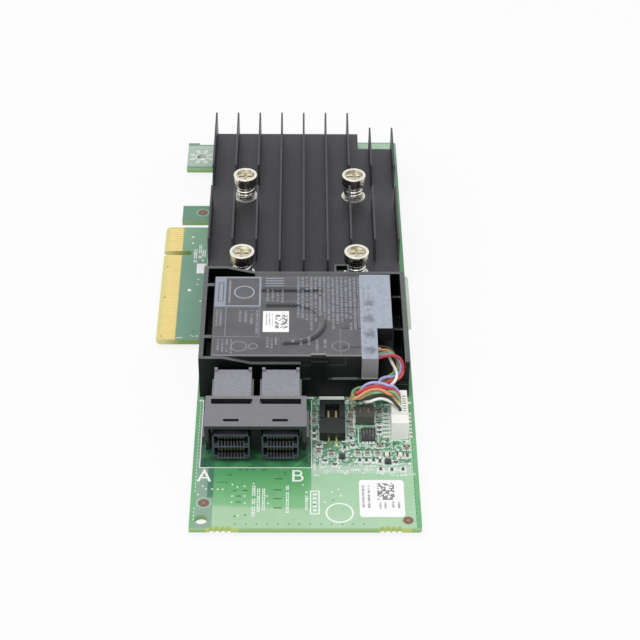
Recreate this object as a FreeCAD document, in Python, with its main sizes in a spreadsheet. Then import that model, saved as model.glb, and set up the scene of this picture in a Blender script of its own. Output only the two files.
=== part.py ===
# Low-profile storage controller card for a server: a circuit board with edge fingers, a black
# finned heat sink on four spring screws, a battery pack in a plastic tray, two cable ports side
# by side under one hood, and a battery lead of seven thin wires.
#
# Sizes are in millimetres. Every piece is drawn from the card's near corner on the finger side,
# with X across the card, Y along it and height zero at the board's component face. The Placement
# of each piece then carries it to the card's own frame, whose origin is under the middle of the
# outline at the level of the lowest underside parts.

import FreeCAD
import Part

import math
import os
import re

import Sketcher

SIZES = {
    # circuit board
    "board_length": 169.5,
    "board_height": 68.9,
    "board_thickness": 1.57,
    "corner_radius": 0.8,
    "underside_height": 1.6,
    "finger_reach": 12.4,
    "finger_near": 71.7,
    "finger_length": 52.2,
    "bevel_width": 1.3,
    "bevel_depth": 0.4,
    "key_offset": 39.6,
    "key_width": 1.9,
    "key_depth": 8.1,
    "tab_reach": 8.0,
    "peg_near": 127.2,
    "peg_length": 7.7,
    "far_corner_left": 54.0,
    "far_corner_length": 1.5,
    "bracket_tab_length": 14.6,
    "bracket_nose_length": 0.9,
    "bracket_nose_width": 3.4,
    "bracket_hole_inset_x": 4.4,
    "bracket_hole_inset_y": 8.3,
    "bracket_hole_radius": 1.6,
    "tooling_hole_x": 2.9,
    "tooling_hole_y": 2.9,
    "tooling_hole_radius": 1.6,
    "bite_radius": 0.55,
    "bite_pitch": 1.4,
    "left_bites_x": 17.9,
    "right_bites_x": 59.3,
    # gold edge contacts
    "contact_pitch": 1.0,
    "contact_width": 0.7,
    "contact_length": 3.8,
    "contact_inset": 1.3,
    "contact_thickness": 0.05,
    "contact_key_gap": 1.5,
    # heat sink
    "sink_left": 13.2,
    "sink_near": 88.8,
    "sink_far": 166.0,
    "sink_lift": 3.0,
    "sink_base": 2.4,
    "fin_pitch": 6.665,
    "fin_root": 0.65,
    "fin_tip": 0.5,
    "fin_height": 7.75,
    "inner_fin_near": 90.5,
    "outer_fin_near": 100.4,
    "screw_gap_near": 126.7,
    "screw_gap_far": 137.4,
    "sink_step_left": 56.8,
    "sink_step_far": 157.7,
    # spring screws, washers and nuts
    "screw_left": 23.1,
    "screw_near": 94.4,
    "screw_pitch_x": 31.75,
    "screw_pitch_y": 37.7,
    "screw_radius": 1.5,
    "head_radius": 3.4,
    "head_thickness": 2.9,
    "head_top": 13.2,
    "head_rim": 0.8,
    "head_dish": 0.6,
    "cross_length": 3.8,
    "cross_width": 0.8,
    "cross_depth": 1.3,
    "washer_radius": 3.5,
    "washer_thickness": 0.4,
    "spring_radius": 2.5,
    "spring_wire": 0.3,
    "spring_turns": 3.25,
    "nut_radius": 2.75,
    "nut_collar_radius": 2.1,
    "screw_tip_gap": 0.3,
    "running_gap": 0.3,
    "press_gap": 0.05,
    # processor and memory
    "processor_size": 27.0,
    "processor_balls": 0.4,
    "processor_board": 1.0,
    "processor_lid_size": 21.0,
    "processor_height": 2.4,
    "memory_width": 7.5,
    "memory_length": 11.0,
    "memory_thickness": 1.1,
    "memory_pitch": 9.4,
    "memory_left": 17.5,
    "memory_near": 142.5,
    # battery tray
    "tray_left": 13.0,
    "tray_right": 67.7,
    "tray_near": 48.2,
    "tray_far": 87.8,
    "rail_width": 1.2,
    "end_wall": 1.0,
    "tray_top": 13.0,
    "tray_low_top": 11.2,
    "slope_start": 19.3,
    "slope_end": 26.7,
    "near_wall_right": 39.4,
    "sill_top": 6.0,
    "sill_right": 60.2,
    "foot_top": 4.4,
    "tray_floor": 1.2,
    "tray_lift": 1.4,
    "hook_width": 1.2,
    "hook_thickness": 1.6,
    "near_hook_y": 57.3,
    "far_hook_y": 79.5,
    "catch_left": 42.1,
    "catch_width": 4.3,
    "catch_top": 11.9,
    "eye_left": 48.6,
    "eye_width": 4.1,
    "eye_reach": 3.3,
    "eye_wall": 0.55,
    "eye_height": 1.6,
    "rib_width": 0.8,
    "rib_reach": 2.2,
    "rib_top": 9.0,
    "near_rib_y": 65.4,
    "far_rib_y": 79.4,
    # battery pack
    "pack_left": 16.1,
    "pack_split": 55.2,
    "pack_right": 59.5,
    "ear_right": 63.6,
    "pack_top": 12.75,
    "pack_far": 83.4,
    "pack_end_far": 84.2,
    "ear_near": 61.0,
    "ear_thickness": 4.0,
    "pack_gap": 0.1,
    "pack_edge_radius": 0.5,
    "label_margin": 0.2,
    "label_thickness": 0.15,
    "ridge_radius": 0.85,
    "long_ridge_left": 28.9,
    "long_ridge_right": 45.1,
    "long_ridge_y": 77.6,
    "hook_ridge_left": 30.1,
    "hook_ridge_end": 34.8,
    "hook_ridge_centre_x": 37.3,
    "hook_ridge_centre_y": 63.0,
    "hook_ridge_bend": 8.0,
    "bump_x": 57.2,
    "bump_far_y": 69.6,
    "bump_pitch": 8.9,
    "bump_radius": 1.4,
    "bump_height": 0.45,
    "sticker_left": 29.4,
    "sticker_near": 59.2,
    "sticker_width": 6.9,
    "sticker_length": 8.8,
    "sticker_thickness": 0.1,
    # twin cable ports
    "port_x": 22.1,
    "port_pitch": 12.25,
    "nose_width": 9.2,
    "nose_near": 23.1,
    "nose_low": 1.2,
    "nose_top": 9.3,
    "nose_far": 34.9,
    "nose_foot_near": 27.8,
    "slot_width": 7.6,
    "slot_height": 1.5,
    "slot_depth": 6.0,
    "low_slot_z": 3.3,
    "high_slot_z": 7.2,
    "terminal_pitch": 0.75,
    "terminal_width": 0.35,
    "terminal_thickness": 0.3,
    "terminal_setback": 0.5,
    "hood_left": 15.5,
    "hood_right": 40.9,
    "hood_near": 23.3,
    "hood_far": 34.8,
    "hood_top": 12.0,
    "hood_skin": 1.0,
    "hood_brow": 6.8,
    "vent_width": 10.4,
    "vent_near": 31.7,
    "vent_far": 33.7,
    "oval_length": 4.2,
    "oval_width": 1.0,
    "oval_y": 25.6,
    "flange_width": 0.6,
    "flange_low": 5.6,
    "flange_top": 8.6,
    "flange_far": 33.0,
    "cover_width": 9.6,
    "cover_gap": 0.1,
    "cover_length": 11.2,
    "cover_top": 11.0,
    "cover_skin": 0.5,
    "cover_ear": 0.8,
    "cover_lip": 0.5,
    "cover_lip_top": 9.2,
    "wafer_gap": 0.15,
    "tail_width": 0.4,
    "tail_inset": 1.4,
    "tail_pitch_y": 2.2,
    # battery header, plug and tails
    "header_left": 62.5,
    "header_right": 66.9,
    "header_near": 31.7,
    "header_far": 43.9,
    "header_deck": 3.0,
    "header_front": 3.4,
    "header_top": 5.6,
    "plug_top": 6.2,
    "plug_gap": 0.1,
    "header_tail_pitch": 1.45,
    "header_tail_near": 32.7,
    "header_tail_reach": 2.0,
    "header_tail_width": 0.5,
    "header_tail_thickness": 0.3,
    "wire_radius": 0.4,
    # two-pin socket
    "socket_left": 44.3,
    "socket_right": 50.8,
    "socket_near": 31.2,
    "socket_split": 36.9,
    "socket_far": 43.5,
    "socket_top": 2.9,
    "shroud_top": 3.2,
    "shroud_wall": 1.3,
    "shroud_floor": 0.7,
    "socket_pin_x": 46.6,
    "socket_pin_pitch": 1.95,
    "socket_pin_size": 0.5,
    "socket_pin_z": 1.2,
    "socket_pin_reach": 4.2,
    "socket_tail_reach": 1.3,
    "anchor_far": 48.0,
    "anchor_thickness": 0.4,
    # power parts
    "inductor_left": 53.6,
    "inductor_near": 37.3,
    "inductor_size": 4.7,
    "inductor_top": 2.8,
    "inductor_foot": 0.3,
    "power_chip_left": 54.95,
    "power_chip_near": 30.9,
    "power_chip_width": 3.5,
    "power_chip_length": 4.3,
    "power_chip_height": 0.8,
    # small surface parts
    "capacitor_length": 1.6,
    "capacitor_width": 0.8,
    "capacitor_height": 0.8,
    "resistor_length": 1.1,
    "resistor_width": 0.6,
    "resistor_height": 0.4,
    "end_cap": 0.3,
    "underside_pitch": 5.0,
    "led_length": 1.7,
    "led_width": 1.3,
    "led_height": 0.6,
    "transistor_length": 1.5,
    "transistor_width": 1.3,
    "transistor_height": 0.9,
    # rating sticker and edge insulator
    "rating_left": 53.9,
    "rating_near": 3.7,
    "rating_width": 11.1,
    "rating_length": 13.0,
    "rating_radius": 0.9,
    "insulator_reach": 1.0,
    "insulator_nut_gap": 3.3,
    "insulator_near": 78.3,
    "insulator_length": 24.4,
    "insulator_thickness": 0.5,
    "insulator_cut": 1.0,
}

FIN_COUNT = 9
OUTER_FINS = 3
CONTACTS_BEYOND_KEY = 11
CONTACTS_BEFORE_KEY = 38
TERMINALS_PER_ROW = 9
TAIL_ROWS = 4
HEADER_TAILS = 7
MEMORY_CHIPS = 5
BITES = 4
BUMPS = 3
UNDERSIDE_ROWS = 4

# Small surface parts, as centre x, centre y and the direction that they lie in.
CAPACITORS = [
    (44.0, 26.8, "y"), (47.2, 26.0, "y"), (53.9, 26.4, "y"), (56.3, 26.4, "y"), (58.9, 26.4, "y"),
    (52.8, 42.9, "x"), (52.3, 40.2, "y"), (52.3, 37.2, "y"), (52.5, 34.4, "y"), (59.9, 41.8, "y"),
    (66.3, 28.4, "x"), (42.9, 41.0, "y"), (42.9, 38.2, "y"), (59.6, 29.2, "x"),
]
RESISTORS = [
    (45.6, 23.6, "x"), (48.0, 22.2, "x"), (52.7, 29.2, "x"), (54.3, 23.7, "y"), (56.0, 23.7, "y"),
    (57.8, 23.7, "y"), (59.4, 23.2, "y"), (63.4, 23.0, "x"), (66.4, 25.4, "y"), (42.9, 34.6, "y"),
    (42.9, 32.4, "y"), (44.2, 29.4, "x"), (50.6, 28.4, "y"), (59.6, 34.2, "x"), (59.6, 36.0, "x"),
    (59.6, 37.8, "x"), (59.5, 20.4, "y"), (62.3, 20.2, "y"), (65.1, 20.4, "y"), (52.3, 31.8, "y"),
]
LEDS = [(61.2, 25.7), (64.6, 25.7)]
TRANSISTORS = [(61.4, 23.1), (49.9, 24.9)]

# The battery lead's seven wires, from the pack's end to the plug, as points of each route.
WIRES = {
    "red": [
        (59.65, 52.6, 9.6), (62.0, 53.3, 10.0), (64.7, 52.7, 9.9), (66.0, 50.3, 9.2), (65.7, 47.8, 8.2),
        (63.6, 46.2, 7.4), (60.4, 45.9, 6.9), (57.4, 46.2, 6.5), (54.7, 46.0, 6.6), (53.2, 44.8, 7.2),
        (53.2, 43.1, 8.1), (54.7, 41.9, 8.8), (58.0, 42.0, 9.5), (60.7, 40.9, 9.8), (63.0, 40.5, 9.3),
        (64.5, 40.4, 8.0), (64.8, 40.4, 6.35),
    ],
    "blue": [
        (59.65, 53.6, 9.5), (61.8, 54.2, 9.3), (64.2, 53.4, 9.1), (65.4, 51.0, 8.3), (64.8, 48.6, 7.6),
        (62.8, 47.3, 7.5), (60.3, 46.8, 6.6), (57.4, 47.1, 6.4), (54.3, 46.9, 6.6), (52.5, 45.3, 7.4),
        (52.5, 43.1, 8.7), (54.3, 41.5, 9.5), (58.2, 41.9, 10.4), (60.9, 41.6, 10.6), (63.1, 41.4, 9.9),
        (64.5, 41.4, 8.3), (64.8, 41.4, 6.35),
    ],
    "green": [
        (59.65, 54.6, 9.3), (62.0, 55.1, 8.8), (64.1, 53.6, 8.2), (64.9, 51.0, 7.5), (64.6, 48.5, 6.7),
        (63.0, 46.9, 6.8), (60.0, 46.0, 5.8), (57.4, 46.2, 5.6), (54.5, 46.0, 5.7), (52.9, 44.6, 6.4),
        (52.9, 42.6, 7.5), (54.5, 41.1, 8.3), (57.8, 41.2, 8.6), (60.4, 39.7, 8.9), (62.8, 38.9, 8.8),
        (64.2, 38.6, 7.8), (64.8, 38.6, 6.35),
    ],
    "orange": [
        (59.65, 56.4, 9.0), (62.1, 56.3, 8.9), (63.9, 54.5, 7.5), (64.5, 51.6, 6.7), (63.8, 49.7, 6.2),
        (61.9, 48.1, 5.8), (60.2, 46.9, 5.7), (57.4, 47.1, 5.6), (54.2, 46.9, 5.7), (52.1, 45.1, 6.7),
        (52.1, 42.6, 8.0), (54.2, 40.8, 9.0), (57.8, 41.0, 9.7), (60.5, 39.9, 9.9), (62.9, 39.5, 9.5),
        (64.4, 39.5, 8.1), (64.8, 39.5, 6.35),
    ],
    "yellow": [
        (59.7, 55.5, 8.4), (61.3, 55.3, 7.5), (62.8, 53.8, 6.6), (64.1, 51.5, 5.8), (63.7, 49.1, 5.1),
        (62.1, 47.2, 4.8), (60.2, 46.0, 4.7), (57.4, 46.2, 4.6), (54.3, 46.0, 4.8), (52.5, 44.4, 5.7),
        (52.5, 42.1, 6.8), (54.3, 40.5, 7.7), (57.8, 40.4, 7.8), (60.5, 38.6, 8.4), (62.7, 37.8, 8.4),
        (64.1, 37.7, 7.6), (64.8, 37.6, 6.4),
    ],
    "black": [
        (59.7, 58.3, 8.8), (61.9, 58.0, 7.6), (63.2, 55.9, 6.6), (63.4, 53.1, 5.2), (63.2, 50.2, 5.1),
        (61.9, 48.1, 4.9), (60.0, 46.9, 4.7), (57.4, 47.1, 4.6), (54.0, 46.9, 4.8), (51.7, 44.9, 5.9),
        (51.7, 42.0, 7.4), (54.0, 40.0, 8.5), (57.8, 39.6, 8.7), (60.4, 37.9, 9.3), (62.8, 36.3, 9.0),
        (64.3, 35.9, 7.8), (64.8, 35.8, 6.35),
    ],
    "white": [
        (59.7, 57.4, 8.9), (61.4, 56.8, 8.0), (62.7, 54.6, 7.6), (63.5, 52.0, 7.2), (63.8, 49.1, 7.1),
        (62.5, 47.1, 5.6), (60.7, 45.2, 5.1), (57.6, 44.9, 4.6), (55.4, 44.3, 4.4), (54.0, 42.6, 4.8),
        (53.9, 40.7, 5.8), (55.4, 39.3, 6.8), (57.7, 38.8, 7.4), (60.2, 38.0, 7.9), (62.5, 37.0, 8.1),
        (63.9, 36.7, 7.4), (64.8, 36.7, 6.5),
    ],
}

doc = FreeCAD.newDocument("StorageControllerCard")
sheet = doc.addObject("Spreadsheet::Sheet", "Sizes")
for row, (alias, value) in enumerate(SIZES.items(), start=1):
    sheet.set(f"A{row}", alias)
    sheet.set(f"B{row}", str(value))
    sheet.setAlias(f"B{row}", alias)
doc.recompute()

WORD = re.compile(r"[a-z_]+")
CARD_ORIGIN = {
    "x": "-(board_height + insulator_reach) / 2",
    "y": "-board_length / 2",
    "z": "board_thickness + underside_height",
}
TURNS = {
    "z": FreeCAD.Rotation(),
    "x": FreeCAD.Rotation(FreeCAD.Vector(0, 1, 0), 90),
    "y": FreeCAD.Rotation(FreeCAD.Vector(1, 0, 0), -90),
}
pieces = []


def size(alias):
    return float(sheet.get(alias))


def bind(thing, path, text):
    named = WORD.sub(lambda word: f"Sizes.{word[0]}" if word[0] in SIZES else word[0], str(text))
    thing.setExpression(path, named)


def set_place(thing, x, y, z):
    for axis, text in (("x", x), ("y", y), ("z", z)):
        bind(thing, f"Placement.Base.{axis}", text)


def piece(label, thing):
    thing.Label = label
    set_place(thing, **CARD_ORIGIN)
    pieces.append(thing)
    return thing


# Part primitives. A span is a (from, to) pair of formulas.


def block(x, y, z):
    box = doc.addObject("Part::Box", "Block")
    for side, (low, high) in (("Length", x), ("Width", y), ("Height", z)):
        bind(box, side, f"({high}) - ({low})")
    set_place(box, x[0], y[0], z[0])
    return box


def middle_block(x, y, width, length, z):
    return block(
        (f"({x}) - ({width}) / 2", f"({x}) + ({width}) / 2"),
        (f"({y}) - ({length}) / 2", f"({y}) + ({length}) / 2"),
        z,
    )


def rod(x, y, z, radius, axis="z"):
    cylinder = doc.addObject("Part::Cylinder", "Rod")
    cylinder.Placement.Rotation = TURNS[axis]
    low, high = {"x": x, "y": y, "z": z}[axis]
    starts = {"x": x, "y": y, "z": z, axis: low}
    bind(cylinder, "Radius", radius)
    bind(cylinder, "Height", f"({high}) - ({low})")
    set_place(cylinder, **starts)
    return cylinder


def taper(x, y, z, low_radius, high_radius):
    cone = doc.addObject("Part::Cone", "Taper")
    bind(cone, "Radius1", low_radius)
    bind(cone, "Radius2", high_radius)
    bind(cone, "Height", f"({z[1]}) - ({z[0]})")
    set_place(cone, x, y, z[0])
    return cone


def fuse(parts):
    joined = doc.addObject("Part::MultiFuse", "Fuse")
    joined.Shapes = parts
    return joined


def cut(base, tools):
    remainder = doc.addObject("Part::Cut", "Cut")
    remainder.Base = base
    remainder.Tool = fuse(tools) if len(tools) > 1 else tools[0]
    return remainder


def group(parts):
    together = doc.addObject("Part::Compound", "Group")
    together.Links = parts
    return together


# PartDesign bodies with sketches whose every corner is dimensioned from the card's corner.


def sketch(body, plane, polygons=(), circles=(), offset="0"):
    drawing = body.newObject("Sketcher::SketchObject", "Sketch")
    origin_plane = next(f for f in body.Origin.OriginFeatures if f.Role == plane)
    drawing.AttachmentSupport = [(origin_plane, "")]
    drawing.MapMode = "FlatFace"
    bind(drawing, "AttachmentOffset.Base.z", offset)

    def dimension(geometry, point, x, y):
        for kind, text in (("DistanceX", x), ("DistanceY", y)):
            rule = drawing.addConstraint(Sketcher.Constraint(kind, -1, 1, geometry, point, 1.0))
            bind(drawing, f"Constraints[{rule}]", text)

    for corners in polygons:
        count = len(corners)
        first = drawing.GeometryCount
        ring = [FreeCAD.Vector(math.cos(a), math.sin(a), 0) * 10
                for a in (2 * math.pi * i / count for i in range(count))]
        for i in range(count):
            drawing.addGeometry(Part.LineSegment(ring[i], ring[(i + 1) % count]))
        for i in range(count):
            following = first + (i + 1) % count
            drawing.addConstraint(Sketcher.Constraint("Coincident", first + i, 2, following, 1))
        for i, (x, y) in enumerate(corners):
            dimension(first + i, 1, x, y)
    for x, y, radius in circles:
        ring = drawing.addGeometry(Part.Circle(FreeCAD.Vector(), FreeCAD.Vector(0, 0, 1), 1))
        dimension(ring, 3, x, y)
        rule = drawing.addConstraint(Sketcher.Constraint("Radius", ring, 1.0))
        bind(drawing, f"Constraints[{rule}]", radius)
    return drawing


def rectangle(x, y):
    return [(x[0], y[0]), (x[1], y[0]), (x[1], y[1]), (x[0], y[1])]


def pad(body, profile, length, backwards=False):
    feature = body.newObject("PartDesign::Pad", "Pad")
    feature.Profile = profile
    feature.Reversed = backwards
    bind(feature, "Length", length)
    doc.recompute()
    return feature


def pocket(body, profile, length, backwards=False):
    volume = body.Shape.Volume
    feature = body.newObject("PartDesign::Pocket", "Pocket")
    feature.Profile = profile
    feature.Reversed = backwards
    bind(feature, "Length", length)
    doc.recompute()
    if not body.Shape.Volume < volume:
        raise RuntimeError(f"{feature.Name} in {body.Name} cut nothing")
    return feature


def round_edges(body, edges, radius):
    base = body.Tip
    feature = body.newObject("PartDesign::Fillet", "Fillet")
    names = [f"Edge{i}" for i, edge in enumerate(base.Shape.Edges, start=1) if edges(edge.BoundBox)]
    feature.Base = (base, names)
    bind(feature, "Radius", radius)
    doc.recompute()
    return feature


def close(a, b):
    return abs(a - b) < 1e-4


def upright(box):
    return box.ZLength > 0.1 and box.XLength < 1e-4 and box.YLength < 1e-4


# ---- circuit board ----

MAIN_LEFT = "finger_reach"
TAB_LEFT = "finger_reach - tab_reach"
FINGER_FAR = "finger_near + finger_length"
KEY_Y = "finger_near + key_offset"
SCREWS = [
    (f"screw_left + {i} * screw_pitch_x", f"screw_near + {j} * screw_pitch_y")
    for j in range(2)
    for i in range(2)
]


def make_circuit_board():
    body = doc.addObject("PartDesign::Body", "CircuitBoard")
    far = "board_length - far_corner_length"
    nose_far = f"{far} + bracket_nose_length"
    tab_near = "board_length - bracket_tab_length"
    nose_right = f"{TAB_LEFT} + bracket_nose_width"
    outline = [
        (MAIN_LEFT, "0"), ("board_height", "0"), ("board_height", "board_length"),
        ("far_corner_left", "board_length"), ("far_corner_left", far), (nose_right, far),
        (nose_right, nose_far), (TAB_LEFT, nose_far), (TAB_LEFT, tab_near),
        (MAIN_LEFT, tab_near), (MAIN_LEFT, "peg_near + peg_length"),
        (TAB_LEFT, "peg_near + peg_length"), (TAB_LEFT, "peg_near"), (MAIN_LEFT, "peg_near"),
        (MAIN_LEFT, FINGER_FAR), ("0", FINGER_FAR), ("0", "finger_near"), (MAIN_LEFT, "finger_near"),
    ]
    pad(body, sketch(body, "XY_Plane", [outline]), "board_thickness", backwards=True)
    right = size("board_height")
    round_edges(
        body,
        lambda box: upright(box) and (close(box.XMin, 0) or close(box.XMin, right)),
        "corner_radius",
    )
    holes = [
        (f"{TAB_LEFT} + bracket_hole_inset_x", "board_length - bracket_hole_inset_y",
         "bracket_hole_radius"),
        (f"{MAIN_LEFT} + tooling_hole_x", "tooling_hole_y", "tooling_hole_radius"),
        *[(x, y, "nut_collar_radius + press_gap") for x, y in SCREWS],
    ]
    for start in ("left_bites_x", "right_bites_x"):
        holes += [(f"{start} + {i} * bite_pitch", "0", "bite_radius") for i in range(BITES)]
    pocket(body, sketch(body, "XY_Plane", circles=holes), "board_thickness")
    key_end = "key_depth - key_width / 2"
    key = rectangle(("-1", key_end), (f"{KEY_Y} - key_width / 2", f"{KEY_Y} + key_width / 2"))
    pocket(body, sketch(body, "XY_Plane", [key]), "board_thickness")
    key_round = [(key_end, KEY_Y, "key_width / 2")]
    pocket(body, sketch(body, "XY_Plane", circles=key_round), "board_thickness")
    bevels = [
        [("-1", "0.5"), ("bevel_width", "0"), ("-1", "-bevel_depth * (1 + 1 / bevel_width)")],
        [("-1", "-board_thickness - 0.5"), ("bevel_width", "-board_thickness"),
         ("-1", "bevel_depth * (1 + 1 / bevel_width) - board_thickness")],
    ]
    bevel_sketch = sketch(body, "XZ_Plane", bevels, offset="1 - finger_near")
    pocket(body, bevel_sketch, "finger_length + 2")
    return piece("circuit_board", body)


def make_edge_contacts():
    rows = [f"{KEY_Y} + contact_key_gap + {i} * contact_pitch" for i in range(CONTACTS_BEYOND_KEY)]
    rows += [f"{KEY_Y} - contact_key_gap - {i} * contact_pitch" for i in range(CONTACTS_BEFORE_KEY)]
    levels = [
        ("0", "contact_thickness"),
        ("-board_thickness - contact_thickness", "-board_thickness"),
    ]
    across = ("contact_inset", "contact_inset + contact_length")
    pads = []
    for z in levels:
        for y in rows:
            pads.append(block(across, (f"{y} - contact_width / 2", f"{y} + contact_width / 2"), z))
    return piece("edge_contacts", group(pads))


# ---- heat sink and its fasteners ----

SINK_RIGHT = f"sink_left + fin_root + {FIN_COUNT - 1} * fin_pitch"
SINK_TOP = "sink_lift + sink_base"
HEAD_LOW = "head_top - head_thickness"


def make_heat_sink():
    body = doc.addObject("PartDesign::Body", "HeatSink")
    plate = rectangle(("sink_left", SINK_RIGHT), ("sink_near", "sink_far"))
    pad(body, sketch(body, "XY_Plane", [plate], offset="sink_lift"), "sink_base")
    slope = "(fin_root - fin_tip) / 2"
    fin = [
        ("sink_left", SINK_TOP),
        ("sink_left + fin_root", SINK_TOP),
        (f"sink_left + fin_root - {slope}", f"{SINK_TOP} + fin_height"),
        (f"sink_left + {slope}", f"{SINK_TOP} + fin_height"),
    ]
    profile = sketch(body, "XZ_Plane", [fin], offset="-inner_fin_near")
    first = pad(body, profile, "sink_far - inner_fin_near", backwards=True)
    fins = body.newObject("PartDesign::LinearPattern", "Fins")
    fins.Originals = [first]
    fins.Direction = (profile, ["H_Axis"])
    fins.Occurrences = FIN_COUNT
    bind(fins, "Length", f"{FIN_COUNT - 1} * fin_pitch")
    body.Tip = fins
    doc.recompute()
    side = f"{OUTER_FINS - 1} * fin_pitch + fin_root + 1"
    left = ("sink_left - 1", f"sink_left + {side}")
    right = (f"{SINK_RIGHT} - ({side})", f"{SINK_RIGHT} + 1")
    spans = (("inner_fin_near - 1", "outer_fin_near"), ("screw_gap_near", "screw_gap_far"))
    notches = [rectangle(x, y) for x in (left, right) for y in spans]
    pocket(body, sketch(body, "XY_Plane", notches, offset=SINK_TOP), "fin_height + 1", backwards=True)
    step = rectangle(("sink_step_left", f"{SINK_RIGHT} + 1"), ("sink_step_far", "sink_far + 1"))
    reach = "sink_base + fin_height + 1"
    pocket(body, sketch(body, "XY_Plane", [step], offset="sink_lift"), reach, backwards=True)
    holes = [(x, y, "screw_radius + running_gap") for x, y in SCREWS]
    hole_sketch = sketch(body, "XY_Plane", circles=holes, offset=SINK_TOP)
    pocket(body, hole_sketch, "sink_base")
    return piece("heat_sink", body)


def make_spring_screws():
    screws = []
    for x, y in SCREWS:
        shank = rod(x, y, ("screw_tip_gap - board_thickness - underside_height", HEAD_LOW), "screw_radius")
        head = rod(x, y, (HEAD_LOW, "head_top"), "head_radius")
        dish = rod(x, y, ("head_top - head_dish", "head_top + 1"), "head_radius - head_rim")
        depth = ("head_top - cross_depth", "head_top + 1")
        arms = [
            middle_block(x, y, "cross_length", "cross_width", depth),
            middle_block(x, y, "cross_width", "cross_length", depth),
        ]
        screws.append(cut(fuse([shank, head]), [dish, *arms]))
    return piece("spring_screws", group(screws))


def make_screw_washers():
    z = (SINK_TOP, f"{SINK_TOP} + washer_thickness")
    washers = []
    for x, y in SCREWS:
        bore = rod(x, y, (f"{SINK_TOP} - 1", f"{SINK_TOP} + washer_thickness + 1"),
                   "screw_radius + running_gap")
        washers.append(cut(rod(x, y, z, "washer_radius"), [bore]))
    return piece("screw_washers", group(washers))


def make_screw_springs():
    low = f"{SINK_TOP} + washer_thickness + spring_wire"
    springs = []
    for x, y in SCREWS:
        helix = doc.addObject("Part::Helix", "Helix")
        bind(helix, "Radius", "spring_radius")
        bind(helix, "Height", f"{HEAD_LOW} - spring_wire - ({low})")
        bind(helix, "Pitch", f"({HEAD_LOW} - spring_wire - ({low})) / spring_turns")
        set_place(helix, x, y, low)
        wire = doc.addObject("Part::RegularPolygon", "Wire")
        wire.Placement.Rotation = TURNS["y"]
        bind(wire, "Circumradius", "spring_wire")
        set_place(wire, f"{x} + spring_radius", y, low)
        sweep = doc.addObject("Part::Sweep", "Spring")
        sweep.Sections = [wire]
        sweep.Spine = (helix, ["Edge1"])
        sweep.Solid = True
        sweep.Frenet = True
        springs.append(sweep)
    return piece("screw_springs", group(springs))


def make_board_nuts():
    low = "-board_thickness - underside_height"
    nuts = []
    for x, y in SCREWS:
        flange = rod(x, y, (low, "-board_thickness"), "nut_radius")
        collar = rod(x, y, ("-board_thickness", "-press_gap"), "nut_collar_radius")
        bore = rod(x, y, (f"{low} - 1", "1"), "screw_radius + press_gap")
        nuts.append(cut(fuse([flange, collar]), [bore]))
    return piece("board_nuts", group(nuts))


# ---- processor and memory ----

PROCESSOR_X = "screw_left + screw_pitch_x / 2"
PROCESSOR_Y = "screw_near + screw_pitch_y / 2"


def make_raid_processor():
    lid_low = "processor_balls + processor_board"
    grid = "processor_size - 2"
    return piece("raid_processor", fuse([
        middle_block(PROCESSOR_X, PROCESSOR_Y, grid, grid, ("0", "processor_balls")),
        middle_block(PROCESSOR_X, PROCESSOR_Y, "processor_size", "processor_size",
                     ("processor_balls", lid_low)),
        middle_block(PROCESSOR_X, PROCESSOR_Y, "processor_lid_size", "processor_lid_size",
                     (lid_low, "processor_height")),
    ]))


def make_thermal_pad():
    return piece("thermal_pad", group([
        middle_block(PROCESSOR_X, PROCESSOR_Y, "processor_lid_size", "processor_lid_size",
                     ("processor_height", "sink_lift")),
    ]))


def make_memory_chips():
    chips = []
    for i in range(MEMORY_CHIPS):
        left = f"memory_left + {i} * memory_pitch"
        chips.append(block((left, f"{left} + memory_width"),
                           ("memory_near", "memory_near + memory_length"),
                           ("0", "memory_thickness")))
    return piece("memory_chips", group(chips))


# ---- battery tray and pack ----


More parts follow.
